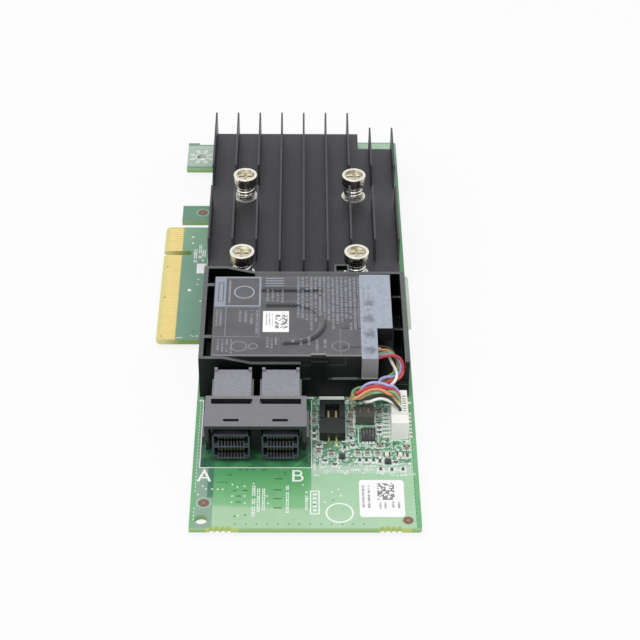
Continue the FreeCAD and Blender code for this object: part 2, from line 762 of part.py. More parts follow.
def make_battery_tray():
    body = doc.addObject("PartDesign::Body", "BatteryTray")
    plate = rectangle(("tray_left", "tray_right"), ("tray_near", "tray_far"))
    pad(body, sketch(body, "XY_Plane", [plate], offset="tray_lift"), "tray_floor")
    sloping_top = [("slope_end", "tray_low_top"), ("slope_start", "tray_top"), ("tray_left", "tray_top")]
    far_wall = [("tray_left", "0"), ("tray_right", "0"), ("tray_right", "tray_low_top"), *sloping_top]
    pad(body, sketch(body, "XZ_Plane", [far_wall], offset="end_wall - tray_far"), "end_wall", True)
    near_wall = [
        ("tray_left", "0"), ("tray_right", "0"), ("tray_right", "foot_top"),
        ("sill_right", "foot_top"), ("sill_right", "sill_top"), ("catch_left + catch_width", "sill_top"),
        ("catch_left + catch_width", "catch_top"), ("catch_left", "catch_top"),
        ("catch_left", "sill_top"), ("near_wall_right", "sill_top"),
        ("near_wall_right", "tray_low_top"), *sloping_top,
    ]
    pad(body, sketch(body, "XZ_Plane", [near_wall], offset="-tray_near"), "end_wall", True)
    y = ("tray_near", "tray_far")
    left_rail = rectangle(("tray_left", "tray_left + rail_width"), y)
    pad(body, sketch(body, "XY_Plane", [left_rail]), "tray_top")
    right_rail = rectangle(("tray_right - rail_width", "tray_right"), ("tray_near + end_wall", "tray_far"))
    pad(body, sketch(body, "XY_Plane", [right_rail]), "tray_low_top")
    hooks = [
        rectangle(("tray_left", "pack_left"), (f"{at} - hook_width / 2", f"{at} + hook_width / 2"))
        for at in ("near_hook_y", "far_hook_y")
    ]
    pad(body, sketch(body, "XY_Plane", hooks, offset="tray_top - hook_thickness"), "hook_thickness")
    ribs = [
        rectangle(("tray_right - rail_width - rib_reach", "tray_right"),
                  (f"{at} - rib_width / 2", f"{at} + rib_width / 2"))
        for at in ("near_rib_y", "far_rib_y")
    ]
    pad(body, sketch(body, "XY_Plane", ribs, offset="tray_lift"), "rib_top - tray_lift")
    eye = rectangle(("eye_left", "eye_left + eye_width"), ("tray_far - end_wall", "tray_far + eye_reach"))
    low = "tray_low_top - eye_height"
    pad(body, sketch(body, "XY_Plane", [eye], offset=low), "eye_height")
    window = rectangle(("eye_left + eye_wall", "eye_left + eye_width - eye_wall"),
                       ("tray_far", "tray_far + eye_reach - eye_wall"))
    pocket(body, sketch(body, "XY_Plane", [window], offset="tray_low_top"), "eye_height")
    return piece("battery_tray", body)


PACK_NEAR = "tray_near + end_wall + pack_gap"
PACK_LOW = "tray_lift + tray_floor"
LABEL_TOP = "pack_top + label_thickness"
STRIP_NEAR = "tray_near + pack_gap"


def make_battery_case():
    body = doc.addObject("PartDesign::Body", "BatteryCase")
    main = rectangle(("pack_left", "pack_split"), (PACK_NEAR, "pack_far"))
    pad(body, sketch(body, "XY_Plane", [main], offset=PACK_LOW), f"pack_top - ({PACK_LOW})")
    end = rectangle(("pack_split", "pack_right"), (f"{STRIP_NEAR} + label_thickness", "pack_end_far"))
    end_low = "sill_top + pack_gap"
    pad(body, sketch(body, "XY_Plane", [end], offset=end_low), f"pack_top - ({end_low})")
    ear = rectangle(("pack_right", "ear_right"), ("ear_near", "pack_end_far"))
    pad(body, sketch(body, "XY_Plane", [ear], offset="pack_top - ear_thickness"), "ear_thickness")
    left = size("pack_left")
    round_edges(body, lambda box: upright(box) and close(box.XMin, left), "pack_edge_radius")
    return piece("battery_case", body)


def half_rod(x, y, radius):
    # A bar of half-round section lying along X with its flat side at the label's top.
    bar = doc.addObject("Part::Cylinder", "HalfRod")
    bar.Placement.Rotation = FreeCAD.Rotation(FreeCAD.Vector(1, 1, 1), 120)
    bar.Angle = 180
    bind(bar, "Radius", radius)
    bind(bar, "Height", f"({x[1]}) - ({x[0]})")
    set_place(bar, x[0], y, LABEL_TOP)
    return bar


def make_battery_label():
    film = block(("pack_left + label_margin", "pack_split"),
                 (f"{PACK_NEAR} + label_margin", "pack_far - label_margin"), ("pack_top", LABEL_TOP))
    ring = doc.addObject("Part::Torus", "Ring")
    ring.Angle3 = 180
    ring.Placement.Rotation = FreeCAD.Rotation(FreeCAD.Vector(0, 0, 1), -90)
    bind(ring, "Radius1", "hook_ridge_bend")
    bind(ring, "Radius2", "ridge_radius")
    set_place(ring, "hook_ridge_centre_x", "hook_ridge_centre_y", LABEL_TOP)
    outer = "2 * (hook_ridge_bend + 2 * ridge_radius)"
    below = middle_block("hook_ridge_centre_x", "hook_ridge_centre_y", outer, outer,
                         (f"{LABEL_TOP} - 2 * ridge_radius", LABEL_TOP))
    bend = cut(ring, [below])
    far = "hook_ridge_centre_y + hook_ridge_bend"
    near = "hook_ridge_centre_y - hook_ridge_bend"
    return piece("battery_label", fuse([
        film,
        bend,
        half_rod(("long_ridge_left", "long_ridge_right"), "long_ridge_y", "ridge_radius"),
        half_rod(("hook_ridge_left", "hook_ridge_centre_x"), far, "ridge_radius"),
        half_rod(("hook_ridge_end", "hook_ridge_centre_x"), near, "ridge_radius"),
    ]))


def make_battery_strip():
    top = ("pack_top", LABEL_TOP)
    parts = [
        block(("pack_split", "pack_right"), (STRIP_NEAR, "pack_end_far"), top),
        block(("pack_right", "ear_right"), ("ear_near", "pack_end_far"), top),
        block(("pack_split", "pack_right"), (STRIP_NEAR, f"{STRIP_NEAR} + label_thickness"),
              ("sill_top + pack_gap", "pack_top")),
    ]
    for i in range(BUMPS):
        y = f"bump_far_y - {i} * bump_pitch"
        parts.append(taper("bump_x", y, (LABEL_TOP, f"{LABEL_TOP} + bump_height"),
                           "bump_radius", "bump_radius / 2"))
    return piece("battery_strip", fuse(parts))


def make_battery_sticker():
    return piece("battery_sticker", group([
        block(("sticker_left", "sticker_left + sticker_width"),
              ("sticker_near", "sticker_near + sticker_length"),
              (LABEL_TOP, f"{LABEL_TOP} + sticker_thickness")),
    ]))


# ---- twin cable ports ----

PORTS = {"a": "port_x", "b": "port_x + port_pitch"}
COVER_NEAR = "nose_far + cover_gap"
COVER_FAR = f"{COVER_NEAR} + cover_length"


def make_port_hood():
    under = "hood_top - hood_skin"
    wall_y = ("nose_foot_near", "hood_far")
    left = ("hood_left", "hood_left + hood_skin")
    right = ("hood_right - hood_skin", "hood_right")
    front_y = ("hood_near", "nose_foot_near")
    middle = "port_x + port_pitch / 2"
    span = "port_pitch - nose_width - 2 * wafer_gap"
    solids = [
        block(("hood_left", "hood_right"), ("hood_near", "hood_far"), (under, "hood_top")),
        block(left, wall_y, ("0", under)),
        block(right, wall_y, ("0", under)),
        block(left, front_y, ("hood_brow", under)),
        block(right, front_y, ("hood_brow", under)),
        block((f"{middle} - ({span}) / 2", f"{middle} + ({span}) / 2"), wall_y, ("0", under)),
        block(("hood_left", "hood_right"), ("vent_far", "hood_far"), ("nose_top + wafer_gap", under)),
        block(("hood_left - flange_width", "hood_left"), ("hood_near", "flange_far"),
              ("flange_low", "flange_top")),
        block(("hood_right", "hood_right + flange_width"), ("hood_near", "flange_far"),
              ("flange_low", "flange_top")),
    ]
    through = (f"{under} - 0.5", "hood_top + 1")
    tools = []
    for x in PORTS.values():
        tools.append(block((f"{x} - vent_width / 2", f"{x} + vent_width / 2"),
                           ("vent_near", "vent_far"), (under, "hood_top + 1")))
        straight = "(oval_length - oval_width) / 2"
        tools.append(middle_block(x, "oval_y", f"2 * {straight}", "oval_width", through))
        for sign in ("-", "+"):
            tools.append(rod(f"{x} {sign} {straight}", "oval_y", through, "oval_width / 2"))
    return piece("port_hood", cut(fuse(solids), tools))


def make_port_receptacle(name, x):
    body_x = (f"{x} - nose_width / 2", f"{x} + nose_width / 2")
    shell = fuse([
        block(body_x, ("nose_near", "nose_far"), ("nose_low", "nose_top")),
        block(body_x, ("nose_foot_near", "nose_far"), ("0", "nose_low")),
    ])
    slots = [
        block((f"{x} - slot_width / 2", f"{x} + slot_width / 2"),
              ("nose_near - 1", "nose_near + slot_depth"),
              (f"{z} - slot_height / 2", f"{z} + slot_height / 2"))
        for z in ("low_slot_z", "high_slot_z")
    ]
    return piece(f"port_{name}_receptacle", cut(shell, slots))


def make_port_contacts(name, x):
    levels = []
    for z in ("low_slot_z", "high_slot_z"):
        low = f"{z} - slot_height / 2"
        high = f"{z} + slot_height / 2"
        levels += [(low, f"{low} + terminal_thickness"), (f"{high} - terminal_thickness", high)]
    bars = []
    for z in levels:
        for i in range(TERMINALS_PER_ROW):
            at = f"{x} + ({i - (TERMINALS_PER_ROW - 1) / 2}) * terminal_pitch"
            bars.append(block((f"{at} - terminal_width / 2", f"{at} + terminal_width / 2"),
                              ("nose_near + terminal_setback", "nose_near + slot_depth"), z))
    return piece(f"port_{name}_contacts", group(bars))


def make_port_cover(name, x):
    outer = (f"{x} - cover_width / 2", f"{x} + cover_width / 2")
    inner = (f"{x} - cover_width / 2 + cover_skin", f"{x} + cover_width / 2 - cover_skin")
    ear_y = (f"{COVER_FAR} - cover_ear", COVER_FAR)
    ear_z = ("cover_top", "cover_top + cover_ear")
    lip_y = (COVER_NEAR, f"{COVER_FAR} - 2 * cover_ear")
    lip_z = ("cover_lip_top - cover_skin", "cover_lip_top")
    shell = fuse([
        block(outer, (COVER_NEAR, COVER_FAR), ("0", "cover_top")),
        block((outer[0], f"{outer[0]} + cover_ear"), ear_y, ear_z),
        block((f"{outer[1]} - cover_ear", outer[1]), ear_y, ear_z),
        block((f"{outer[0]} - cover_lip", outer[0]), lip_y, lip_z),
        block((outer[1], f"{outer[1]} + cover_lip"), lip_y, lip_z),
    ])
    hollow = block(inner, (f"{COVER_NEAR} - 1", f"{COVER_FAR} - cover_skin"),
                   ("-1", "cover_top - cover_skin"))
    return piece(f"port_{name}_cover", cut(shell, [hollow]))


def make_port_wafers(name, x):
    half = "cover_width / 2 - cover_skin - wafer_gap"
    return piece(f"port_{name}_wafers", group([
        block((f"{x} - ({half})", f"{x} + ({half})"),
              ("nose_far", f"{COVER_FAR} - cover_skin - wafer_gap"),
              ("0", "cover_top - cover_skin - wafer_gap")),
    ]))


def make_port_tails():
    z = ("-board_thickness - underside_height", "-board_thickness")
    tails = []
    for x in PORTS.values():
        for i in range(TERMINALS_PER_ROW):
            at = f"{x} + ({i - (TERMINALS_PER_ROW - 1) / 2}) * terminal_pitch"
            for j in range(TAIL_ROWS):
                y = f"{COVER_NEAR} + tail_inset + {j} * tail_pitch_y"
                tails.append(middle_block(at, y, "tail_width", "tail_width", z))
    return piece("port_tails", group(tails))


# ---- battery header, plug and tails ----


def make_battery_header():
    x = ("header_left", "header_right")
    front = "header_near + header_front"
    return piece("battery_header", fuse([
        block(x, ("header_near", "header_far"), ("0", "header_deck")),
        block(x, ("header_near", front), ("header_deck", "header_top")),
    ]))


def make_battery_plug():
    return piece("battery_plug", group([
        block(("header_left + plug_gap", "header_right - plug_gap"),
              ("header_near + header_front + plug_gap", "header_far - plug_gap"),
              ("header_deck", "plug_top")),
    ]))


def make_header_tails():
    tails = []
    for i in range(HEADER_TAILS):
        y = f"header_tail_near + {i} * header_tail_pitch"
        across = (f"{y} - header_tail_width / 2", f"{y} + header_tail_width / 2")
        tails.append(block(("header_left - header_tail_reach", "header_left"), across,
                           ("0", "header_tail_thickness")))
        tails.append(block(("header_right", "header_right + header_tail_reach / 2"), across,
                           ("0", "header_tail_thickness")))
    return piece("header_tails", group(tails))


def wire_shape(points):
    # Straight runs joined by tangent arcs, each as large as its two runs allow.
    edges = []
    radii = []
    start = points[0]
    for before, corner, after in zip(points, points[1:], points[2:]):
        back = before - corner
        ahead = after - corner
        trim = 0.45 * min(back.Length, ahead.Length)
        turn = math.pi - back.getAngle(ahead)
        radii.append(trim / math.tan(turn / 2))
        entry = corner + back.normalize() * trim
        leave = corner + ahead.normalize() * trim
        bisector = (back + ahead).normalize()
        centre_reach = radii[-1] / math.cos(turn / 2)
        middle = corner + bisector * (centre_reach - radii[-1])
        edges += [Part.LineSegment(start, entry).toShape(), Part.Arc(entry, middle, leave).toShape()]
        start = leave
    edges.append(Part.LineSegment(start, points[-1]).toShape())
    path = Part.Wire(edges)
    direction = (points[1] - points[0]).normalize()
    ring = Part.Wire(Part.Circle(points[0], direction, size("wire_radius")).toShape())
    tube = path.makePipeShell([ring], True, False)
    expected = math.pi * size("wire_radius") ** 2 * path.Length
    return tube, path.Length, min(radii), tube.Volume / expected


def make_wires():
    for colour, route in WIRES.items():
        points = [FreeCAD.Vector(*point) for point in route]
        tube, length, radius, share = wire_shape(points)
        print(f"wire_{colour}: length {length:.1f}, least radius {radius:.2f}, volume {share:.4f}")
        feature = doc.addObject("Part::Feature", "Wire")
        feature.Shape = tube
        piece(f"wire_{colour}", feature)


# ---- two-pin socket and power parts ----

SOCKET_PINS = ["socket_pin_x", "socket_pin_x + socket_pin_pitch"]


def socket_pin(x):
    half = "socket_pin_size / 2"
    across = (f"{x} - {half}", f"{x} + {half}")
    tail = "socket_near - socket_tail_reach"
    return fuse([
        block(across, (tail, "socket_split + socket_pin_reach"),
              (f"socket_pin_z - {half}", f"socket_pin_z + {half}")),
        block(across, (tail, f"{tail} + socket_pin_size"), ("0", "socket_pin_z")),
    ])


def make_socket_block():
    x = ("socket_left", "socket_right")
    base = block(x, ("socket_near", "socket_split"), ("0", "socket_top"))
    return piece("socket_block", cut(base, [socket_pin(at) for at in SOCKET_PINS]))


def make_socket_pins():
    return piece("socket_pins", group([socket_pin(at) for at in SOCKET_PINS]))


def make_socket_shroud():
    outer = block(("socket_left", "socket_right"), ("socket_split", "socket_far"), ("0", "shroud_top"))
    well = block(("socket_left + shroud_wall", "socket_right - shroud_wall"),
                 ("socket_split - 1", "socket_far - shroud_wall"), ("shroud_floor", "shroud_top + 1"))
    return piece("socket_shroud", cut(outer, [well]))


def make_socket_anchor():
    return piece("socket_anchor", group([
        block(("socket_left", "socket_right"), ("socket_far", "anchor_far"), ("0", "anchor_thickness")),
    ]))


def make_power_inductor():
    x = ("inductor_left", "inductor_left + inductor_size")
    y = ("inductor_near", "inductor_near + inductor_size")
    feet = [
        block((low, high), ("inductor_near + 1", "inductor_near + inductor_size - 1"), ("0", "inductor_foot"))
        for low, high in (
            ("inductor_left", "inductor_left + 1"),
            ("inductor_left + inductor_size - 1", "inductor_left + inductor_size"),
        )
    ]
    return piece("power_inductor", fuse([block(x, y, ("inductor_foot", "inductor_top")), *feet]))


def make_power_chip():
    return piece("power_chip", group([
        block(("power_chip_left", "power_chip_left + power_chip_width"),
              ("power_chip_near", "power_chip_near + power_chip_length"), ("0", "power_chip_height")),
    ]))


# ---- small surface parts ----


def lying(x, y, way, length, width, z):
    sides = (length, width) if way == "x" else (width, length)
    return middle_block(x, y, *sides, z)


def end_caps(x, y, way, length, width, z):
    caps = []
    for sign in (-1, 1):
        shift = f"({sign}) * (({length}) - end_cap) / 2"
        at = (f"{x} + {shift}", y) if way == "x" else (x, f"{y} + {shift}")
        caps.append(lying(*at, way, "end_cap", width, z))
    return caps


def make_chip_capacitors():
    bodies = [
        lying(x, y, way, "capacitor_length - 2 * end_cap", "capacitor_width", ("0", "capacitor_height"))
        for x, y, way in CAPACITORS
    ]
    return piece("chip_capacitors", group(bodies))


def make_chip_resistors():
    bodies = [
        lying(x, y, way, "resistor_length - 2 * end_cap", "resistor_width", ("0", "resistor_height"))
        for x, y, way in RESISTORS
    ]
    return piece("chip_resistors", group(bodies))


def make_status_leds():
    bodies = [
        lying(x, y, "x", "led_length - 2 * end_cap", "led_width", ("0", "led_height")) for x, y in LEDS
    ]
    return piece("status_leds", group(bodies))


def make_chip_terminals():
    caps = []
    for x, y, way in CAPACITORS:
        caps += end_caps(x, y, way, "capacitor_length", "capacitor_width", ("0", "capacitor_height"))
    for x, y, way in RESISTORS:
        caps += end_caps(x, y, way, "resistor_length", "resistor_width", ("0", "resistor_height"))
    for x, y in LEDS:
        caps += end_caps(x, y, "x", "led_length", "led_width", ("0", "led_height"))
    return piece("chip_terminals", group(caps))


def make_small_transistors():
    chips = [
        middle_block(x, y, "transistor_length", "transistor_width", ("0", "transistor_height"))
        for x, y in TRANSISTORS
    ]
    return piece("small_transistors", group(chips))


def make_underside_capacitors():
    low = "-board_thickness - capacitor_height"
    steps = [i - (UNDERSIDE_ROWS - 1) / 2 for i in range(UNDERSIDE_ROWS)]
    bodies = [
        lying(f"{PROCESSOR_X} + ({i}) * underside_pitch", f"{PROCESSOR_Y} + ({j}) * underside_pitch",
              "y", "capacitor_length", "capacitor_width", (low, "-board_thickness"))
        for i in steps
        for j in steps
    ]
    return piece("underside_capacitors", group(bodies))


# ---- rating sticker and edge insulator ----


def make_rating_sticker():
    body = doc.addObject("PartDesign::Body", "RatingSticker")
    sheet_outline = rectangle(("rating_left", "rating_left + rating_width"),
                              ("rating_near", "rating_near + rating_length"))
    pad(body, sketch(body, "XY_Plane", [sheet_outline]), "sticker_thickness")
    round_edges(body, lambda box: close(box.XLength, 0) and close(box.YLength, 0), "rating_radius")
    return piece("rating_sticker", body)


def make_edge_insulator():
    body = doc.addObject("PartDesign::Body", "EdgeInsulator")
    right = "board_height + insulator_reach"
    left = "screw_left + screw_pitch_x + nut_radius + insulator_nut_gap"
    far = "insulator_near + insulator_length"
    outline = [
        (left, "insulator_near"), ("board_height", "insulator_near"),
        (right, "insulator_near + insulator_cut"), (right, f"{far} - insulator_cut"),
        ("board_height", far), (left, far),
    ]
    pad(body, sketch(body, "XY_Plane", [outline], offset="-board_thickness"),
        "insulator_thickness", backwards=True)
    return piece("edge_insulator", body)


make_circuit_board()
make_edge_contacts()
make_heat_sink()
make_spring_screws()
make_screw_washers()
make_screw_springs()
make_board_nuts()
make_raid_processor()
make_thermal_pad()
make_memory_chips()
make_battery_tray()
make_battery_case()
make_battery_label()
make_battery_strip()
make_battery_sticker()
make_port_hood()
for port_name, port_centre in PORTS.items():
    make_port_receptacle(port_name, port_centre)
    make_port_contacts(port_name, port_centre)
    make_port_cover(port_name, port_centre)
    make_port_wafers(port_name, port_centre)
make_port_tails()
make_battery_header()
make_battery_plug()
make_header_tails()
make_wires()
make_socket_block()
make_socket_pins()
make_socket_shroud()
make_socket_anchor()
make_power_inductor()
make_power_chip()
make_chip_capacitors()
make_chip_resistors()
make_status_leds()
make_chip_terminals()
make_small_transistors()
make_underside_capacitors()
make_rating_sticker()
make_edge_insulator()

doc.recompute()
for thing in doc.Objects:
    if "Invalid" in thing.State or "Error" in thing.State:
        raise RuntimeError(f"{thing.Name} ({thing.Label}) failed: {thing.State}")
for thing in pieces:
    if thing.Shape.isNull() or not thing.Shape.isValid():
        raise RuntimeError(f"{thing.Label} has no valid shape")

os.makedirs("parts", exist_ok=True)
for thing in pieces:
    thing.Shape.exportStep(f"parts/{thing.Label}.step")
print(f"{len(pieces)} pieces written")
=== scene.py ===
import math
import random
from functools import reduce

import bmesh
import bpy
from mathutils import Matrix, Vector


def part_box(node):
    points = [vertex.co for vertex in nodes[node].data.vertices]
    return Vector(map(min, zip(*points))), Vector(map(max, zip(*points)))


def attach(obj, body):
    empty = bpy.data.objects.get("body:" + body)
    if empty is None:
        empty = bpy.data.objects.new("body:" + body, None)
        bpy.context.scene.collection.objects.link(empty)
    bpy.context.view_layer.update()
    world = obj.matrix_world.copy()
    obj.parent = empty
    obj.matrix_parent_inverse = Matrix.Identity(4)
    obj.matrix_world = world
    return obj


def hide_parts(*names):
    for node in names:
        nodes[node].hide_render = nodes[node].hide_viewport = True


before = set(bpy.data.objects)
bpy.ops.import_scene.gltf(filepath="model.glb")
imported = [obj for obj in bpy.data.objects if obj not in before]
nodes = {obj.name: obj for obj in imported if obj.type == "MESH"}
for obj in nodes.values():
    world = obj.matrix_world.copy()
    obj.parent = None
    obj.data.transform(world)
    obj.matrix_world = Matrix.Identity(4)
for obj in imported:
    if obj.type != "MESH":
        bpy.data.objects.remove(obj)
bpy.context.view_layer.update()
print("frame loaded")

mm = 0.001
boardLow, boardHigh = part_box("circuit_board")
cardCorner = Vector((boardLow.x, boardLow.y, boardHigh.z))  # near end of the edge connector, board top
random.seed(7)


def cardPoint(x, y, z=0.0):
    return cardCorner + Vector((x, y, z)) * mm


def nodeBox(name):
    # a node's corners in millimetres from the card's corner
    low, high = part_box(name)
    return (low - cardCorner) / mm, (high - cardCorner) / mm


def islandBoxes(name):
    # low and high corners of each separate solid in a node, in card millimetres
    mesh = bmesh.new()
    mesh.from_mesh(nodes[name].data)
    waiting = set(mesh.verts)
    boxes = []
    while waiting:
        front = [waiting.pop()]
        low, high = Vector(front[0].co), Vector(front[0].co)
        while front:
            vertex = front.pop()
            low = Vector(map(min, low, vertex.co))
            high = Vector(map(max, high, vertex.co))
            for edge in vertex.link_edges:
                other = edge.other_vert(vertex)
                if other in waiting:
                    waiting.remove(other)
                    front.append(other)
        boxes.append(((low - cardCorner) / mm, (high - cardCorner) / mm))
    mesh.free()
    return sorted(boxes, key=lambda box: (round(box[0].y, 2), round(box[0].x, 2)))


def tint(red, green, blue):
    # screen colour, 0 to 255, to the linear light that shaders take
    def linear(value):
        value /= 255
        return value / 12.92 if value <= 0.04045 else ((value + 0.055) / 1.055) ** 2.4

    return (linear(red), linear(green), linear(blue), 1.0)


def mathsNode(operation):
    # an operator of Signal that adds one Math node
    return lambda signal, *others: signal.shader.maths(operation, signal, *others)


class Signal:
    # a node's output that can be used in sums
    def __init__(self, shader, socket):
        self.shader = shader
        self.socket = socket

    def __rsub__(self, other):
        return self.shader.maths("SUBTRACT", other, self)

    __add__ = __radd__ = mathsNode("ADD")
    __sub__ = mathsNode("SUBTRACT")
    __mul__ = __rmul__ = mathsNode("MULTIPLY")
    __truediv__ = mathsNode("DIVIDE")
    __lt__ = mathsNode("LESS_THAN")
    __gt__ = mathsNode("GREATER_THAN")
    __or__ = mathsNode("MAXIMUM")
    __abs__ = mathsNode("ABSOLUTE")
    floor = mathsNode("FLOOR")
    fract = mathsNode("FRACT")


def anyOf(masks):
    # where any of the masks is, the strongest one
    return reduce(lambda first, second: first | second, masks)


class Shader:
    # a node tree and the one method that makes its nodes
    def __init__(self, tree):
        self.tree = tree

    def fill(self, target, value):
        # a link, or a value; three numbers in a colour's socket are a screen colour
        if isinstance(value, Signal):
            self.tree.links.new(value.socket, target)
        else:
            screenColour = target.type == "RGBA" and len(value) == 3
            target.default_value = tint(*value) if screenColour else value

    def node(self, kind, settings=None, inputs=(), output=0):
        made = self.tree.nodes.new(kind)
        for setting, value in (settings or {}).items():
            setattr(made, setting, value)
        for key, value in inputs.items() if isinstance(inputs, dict) else enumerate(inputs):
            self.fill(made.inputs[key], value)
        return Signal(self, made.outputs[output])

    def maths(self, operation, *values):
        return self.node("ShaderNodeMath", {"operation": operation}, values)

    def sightRays(self):
        # 1 for what is looked at, straight or through things, and 0 for light that falls on the object
        kinds = ("Camera", "Glossy", "Transmission")
        return anyOf([self.node("ShaderNodeLightPath", output=f"Is {kind} Ray") for kind in kinds])


class Finish(Shader):
    # one material: its colour so far, and points in millimetres from the card's corner
    def __init__(self, name, base, rough=0.5, metal=0.0, **sockets):
        self.material = bpy.data.materials.new(name)
        self.material.use_nodes = True
        super().__init__(self.material.node_tree)
        self.surface = self.tree.nodes["Principled BSDF"]
        self.colour = base
        self.set("Base Color", base)
        self.set("Roughness", rough)
        self.set("Metallic", metal)
        for socket, value in sockets.items():
            self.set(socket.replace("_", " "), value)
        coordinates = self.node("ShaderNodeTexCoord", output="Object")
        shifted = self.vector("SUBTRACT", coordinates, cardCorner)
        self.point = self.vector("SCALE", shifted, scale=1 / mm)
        self.x, self.y, self.z = (
            self.node("ShaderNodeSeparateXYZ", inputs=[self.point], output=i) for i in range(3)
        )

    def set(self, socket, value):
        self.fill(self.surface.inputs[socket], value)

    def paint(self, mask, colour):
        # a colour over the colour so far
        self.colour = self.mix(mask, self.colour, colour)
        self.set("Base Color", self.colour)

    def vector(self, operation, first, second=(0, 0, 0), scale=1.0):
        inputs = {0: first, 1: second} if operation != "SCALE" else {0: first, "Scale": scale}
        output = "Value" if operation in ("LENGTH", "DOT_PRODUCT") else "Vector"
        return self.node("ShaderNodeVectorMath", {"operation": operation}, inputs, output)

    def combine(self, x, y, z=0.0):
        return self.node("ShaderNodeCombineXYZ", inputs=[x, y, z])

    def mix(self, factor, first, second):
        return self.node("ShaderNodeMix", {"data_type": "RGBA"}, {0: factor, 6: first, 7: second}, output=2)

    def tone(self, value, saturation=1.0):
        # the colour so far, darker or lighter
        inputs = {"Value": value, "Saturation": saturation, "Color": self.colour}
        return self.node("ShaderNodeHueSaturation", None, inputs)

    def noise(self, scale, detail=2.0, rough=0.5, stretch=(1, 1, 1), point=None):
        place = self.vector("MULTIPLY", point or self.point, stretch)
        inputs = {"Vector": place, "Scale": scale, "Detail": detail, "Roughness": rough}
        return self.node("ShaderNodeTexNoise", None, inputs)

    def blend(self, low, high, signal):
        # 0 below low, 1 above high, straight in between
        return self.node("ShaderNodeMapRange", None, {0: signal, 1: low, 2: high, 3: 0.0, 4: 1.0})

    def patches(self, rough=0.6):
        return self.blend(0.35, 0.7, self.noise(0.5, 4.0, rough))

    def inside(self, x, y):
        across = abs(self.x - (x[0] + x[1]) / 2) < (x[1] - x[0]) / 2
        along = abs(self.y - (y[0] + y[1]) / 2) < (y[1] - y[0]) / 2
        return across * along

    def frameLine(self, x, y, width):
        # the outline of a rectangle, drawn inwards
        inner = self.inside((x[0] + width, x[1] - width), (y[0] + width, y[1] - width))
        return self.inside(x, y) * (1 - inner)

    def ringLine(self, x, y, radius, width, squash=1.0):
        flat = self.combine(self.x - x, (self.y - y) * squash)
        return abs(self.vector("LENGTH", flat) - radius) < width / 2

    def smallPrint(self, x, y, pitch, ragged=0.0, share=0.55, glyph=0.55):
        # lines of unreadable small print that run along the card, one every pitch across it
        step = (self.x - x[0]) / pitch
        column = step.floor()
        letters = self.noise(1.0, 0.0, point=self.combine(column * 7.31, self.y / glyph)) > 0.42
        line = step.fract() < share
        shade = self.inside(x, y) * line * letters
        if ragged:
            ends = self.node("ShaderNodeTexWhiteNoise", {"noise_dimensions": "1D"}, {"W": column + 0.5})
            shade = shade * (self.y > ends * ragged + y[0])
        return shade

    def bump(self, height, strength=0.3, distance=0.05, soft=0.0):
        inputs = {"Height": height, "Strength": strength, "Distance": distance * mm}
        if soft:
            inputs["Normal"] = self.node("ShaderNodeBevel", {"samples": 4}, {"Radius": soft * mm})
        self.set("Normal", self.node("ShaderNodeBump", None, inputs))

    def grain(self, size, rough, strength, soft, detail=2.0):
        # the fine grain of a moulding, which changes its gloss a little from the roughness given
        spark = self.noise(size, detail)
        self.set("Roughness", self.blend(0.3, 0.7, spark) * 0.1 + rough)
        self.bump(spark, strength, 0.03, soft)

    def facing(self, axis):
        # how far the surface turns towards +x, +y or +z
        normal = self.node("ShaderNodeNewGeometry", output="True Normal")
        return self.node("ShaderNodeSeparateXYZ", inputs=[normal], output=axis)

    def edges(self, radius, reach=0.12):
        # 1 along sharp edges, fading to 0 on the flats
        rounded = self.node("ShaderNodeBevel", {"samples": 6}, {"Radius": radius * mm})
        flat = self.node("ShaderNodeNewGeometry", output="True Normal")
        return self.blend(0.01, reach, 1 - self.vector("DOT_PRODUCT", rounded, flat))


greens = {  # the solder mask and the cut edge, place by place
    "strip": (138, 168, 150),
    "stripDark": (78, 132, 108),
    "middle": (95, 173, 110),
    "middleNear": (128, 190, 134),
    "near": (170, 206, 168),
    "pale": (164, 206, 167),
    "paleNear": (174, 210, 174),
    # portBox: painted shade under the ports
    "portBox": (22, 82, 62),
    "parts": (97, 150, 120),
    "partsDark": (44, 104, 74),
    "partsPale": (176, 208, 180),
    "partsNear": (190, 214, 194),
    "pegs": (98, 146, 120),
    "pegEdge": (166, 204, 150),
    "corner": (158, 198, 166),
    "finger": (111, 154, 132),
    "fingerFar": (122, 168, 138),
    "tab": (176, 196, 182),
    "border": (112, 176, 125),
    "laminate": (166, 202, 150),
    "laminateLow": (136, 178, 106),
    "fingerLaminate": (226, 214, 146),
    "gap": (218, 206, 130),
    "slotGreen": (128, 166, 84),
    "bite": (206, 214, 116),
}

boardZones = {  # x and y in card millimetres
    "nearPlane": ((17.9, 42.1), (-1.0, 21.2)),
    "parts": ((42.3, 67.3), (19.2, 49.0)),
    "portBox": ((14.1, 42.3), (21.2, 49.0)),
    "paleStrip": ((16.4, 17.9), (10.5, 21.2)),
    "leftNear": ((10.0, 17.9), (-1.0, 21.2)),
    "leftFar": ((10.0, 14.1), (20.0, 60.0)),
    "finger": ((-1.0, 12.5), (60.0, 150.0)),
    "tab": ((-1.0, 12.5), (156.0, 167.4)),
    "pegs": ((-1.0, 12.5), (124.0, 140.0)),
    "corner": ((56.0, 67.4), (157.0, 169.0)),
    "fan": ((5.2, 6.6), (71.0, 124.5)),
    "fanSlant": ((6.6, 7.8), (71.0, 124.5)),
    "contacts": ((-1.0, 5.25), (60.0, 125.0)),
    "gildedEdge": ((-1.0, 12.0), (70.0, 125.0)),
    "leftBite": ((16.5, 24.5), (-1.0, 1.0)),
    "rightBite": ((58.5, 66.5), (-1.0, 1.0)),
}


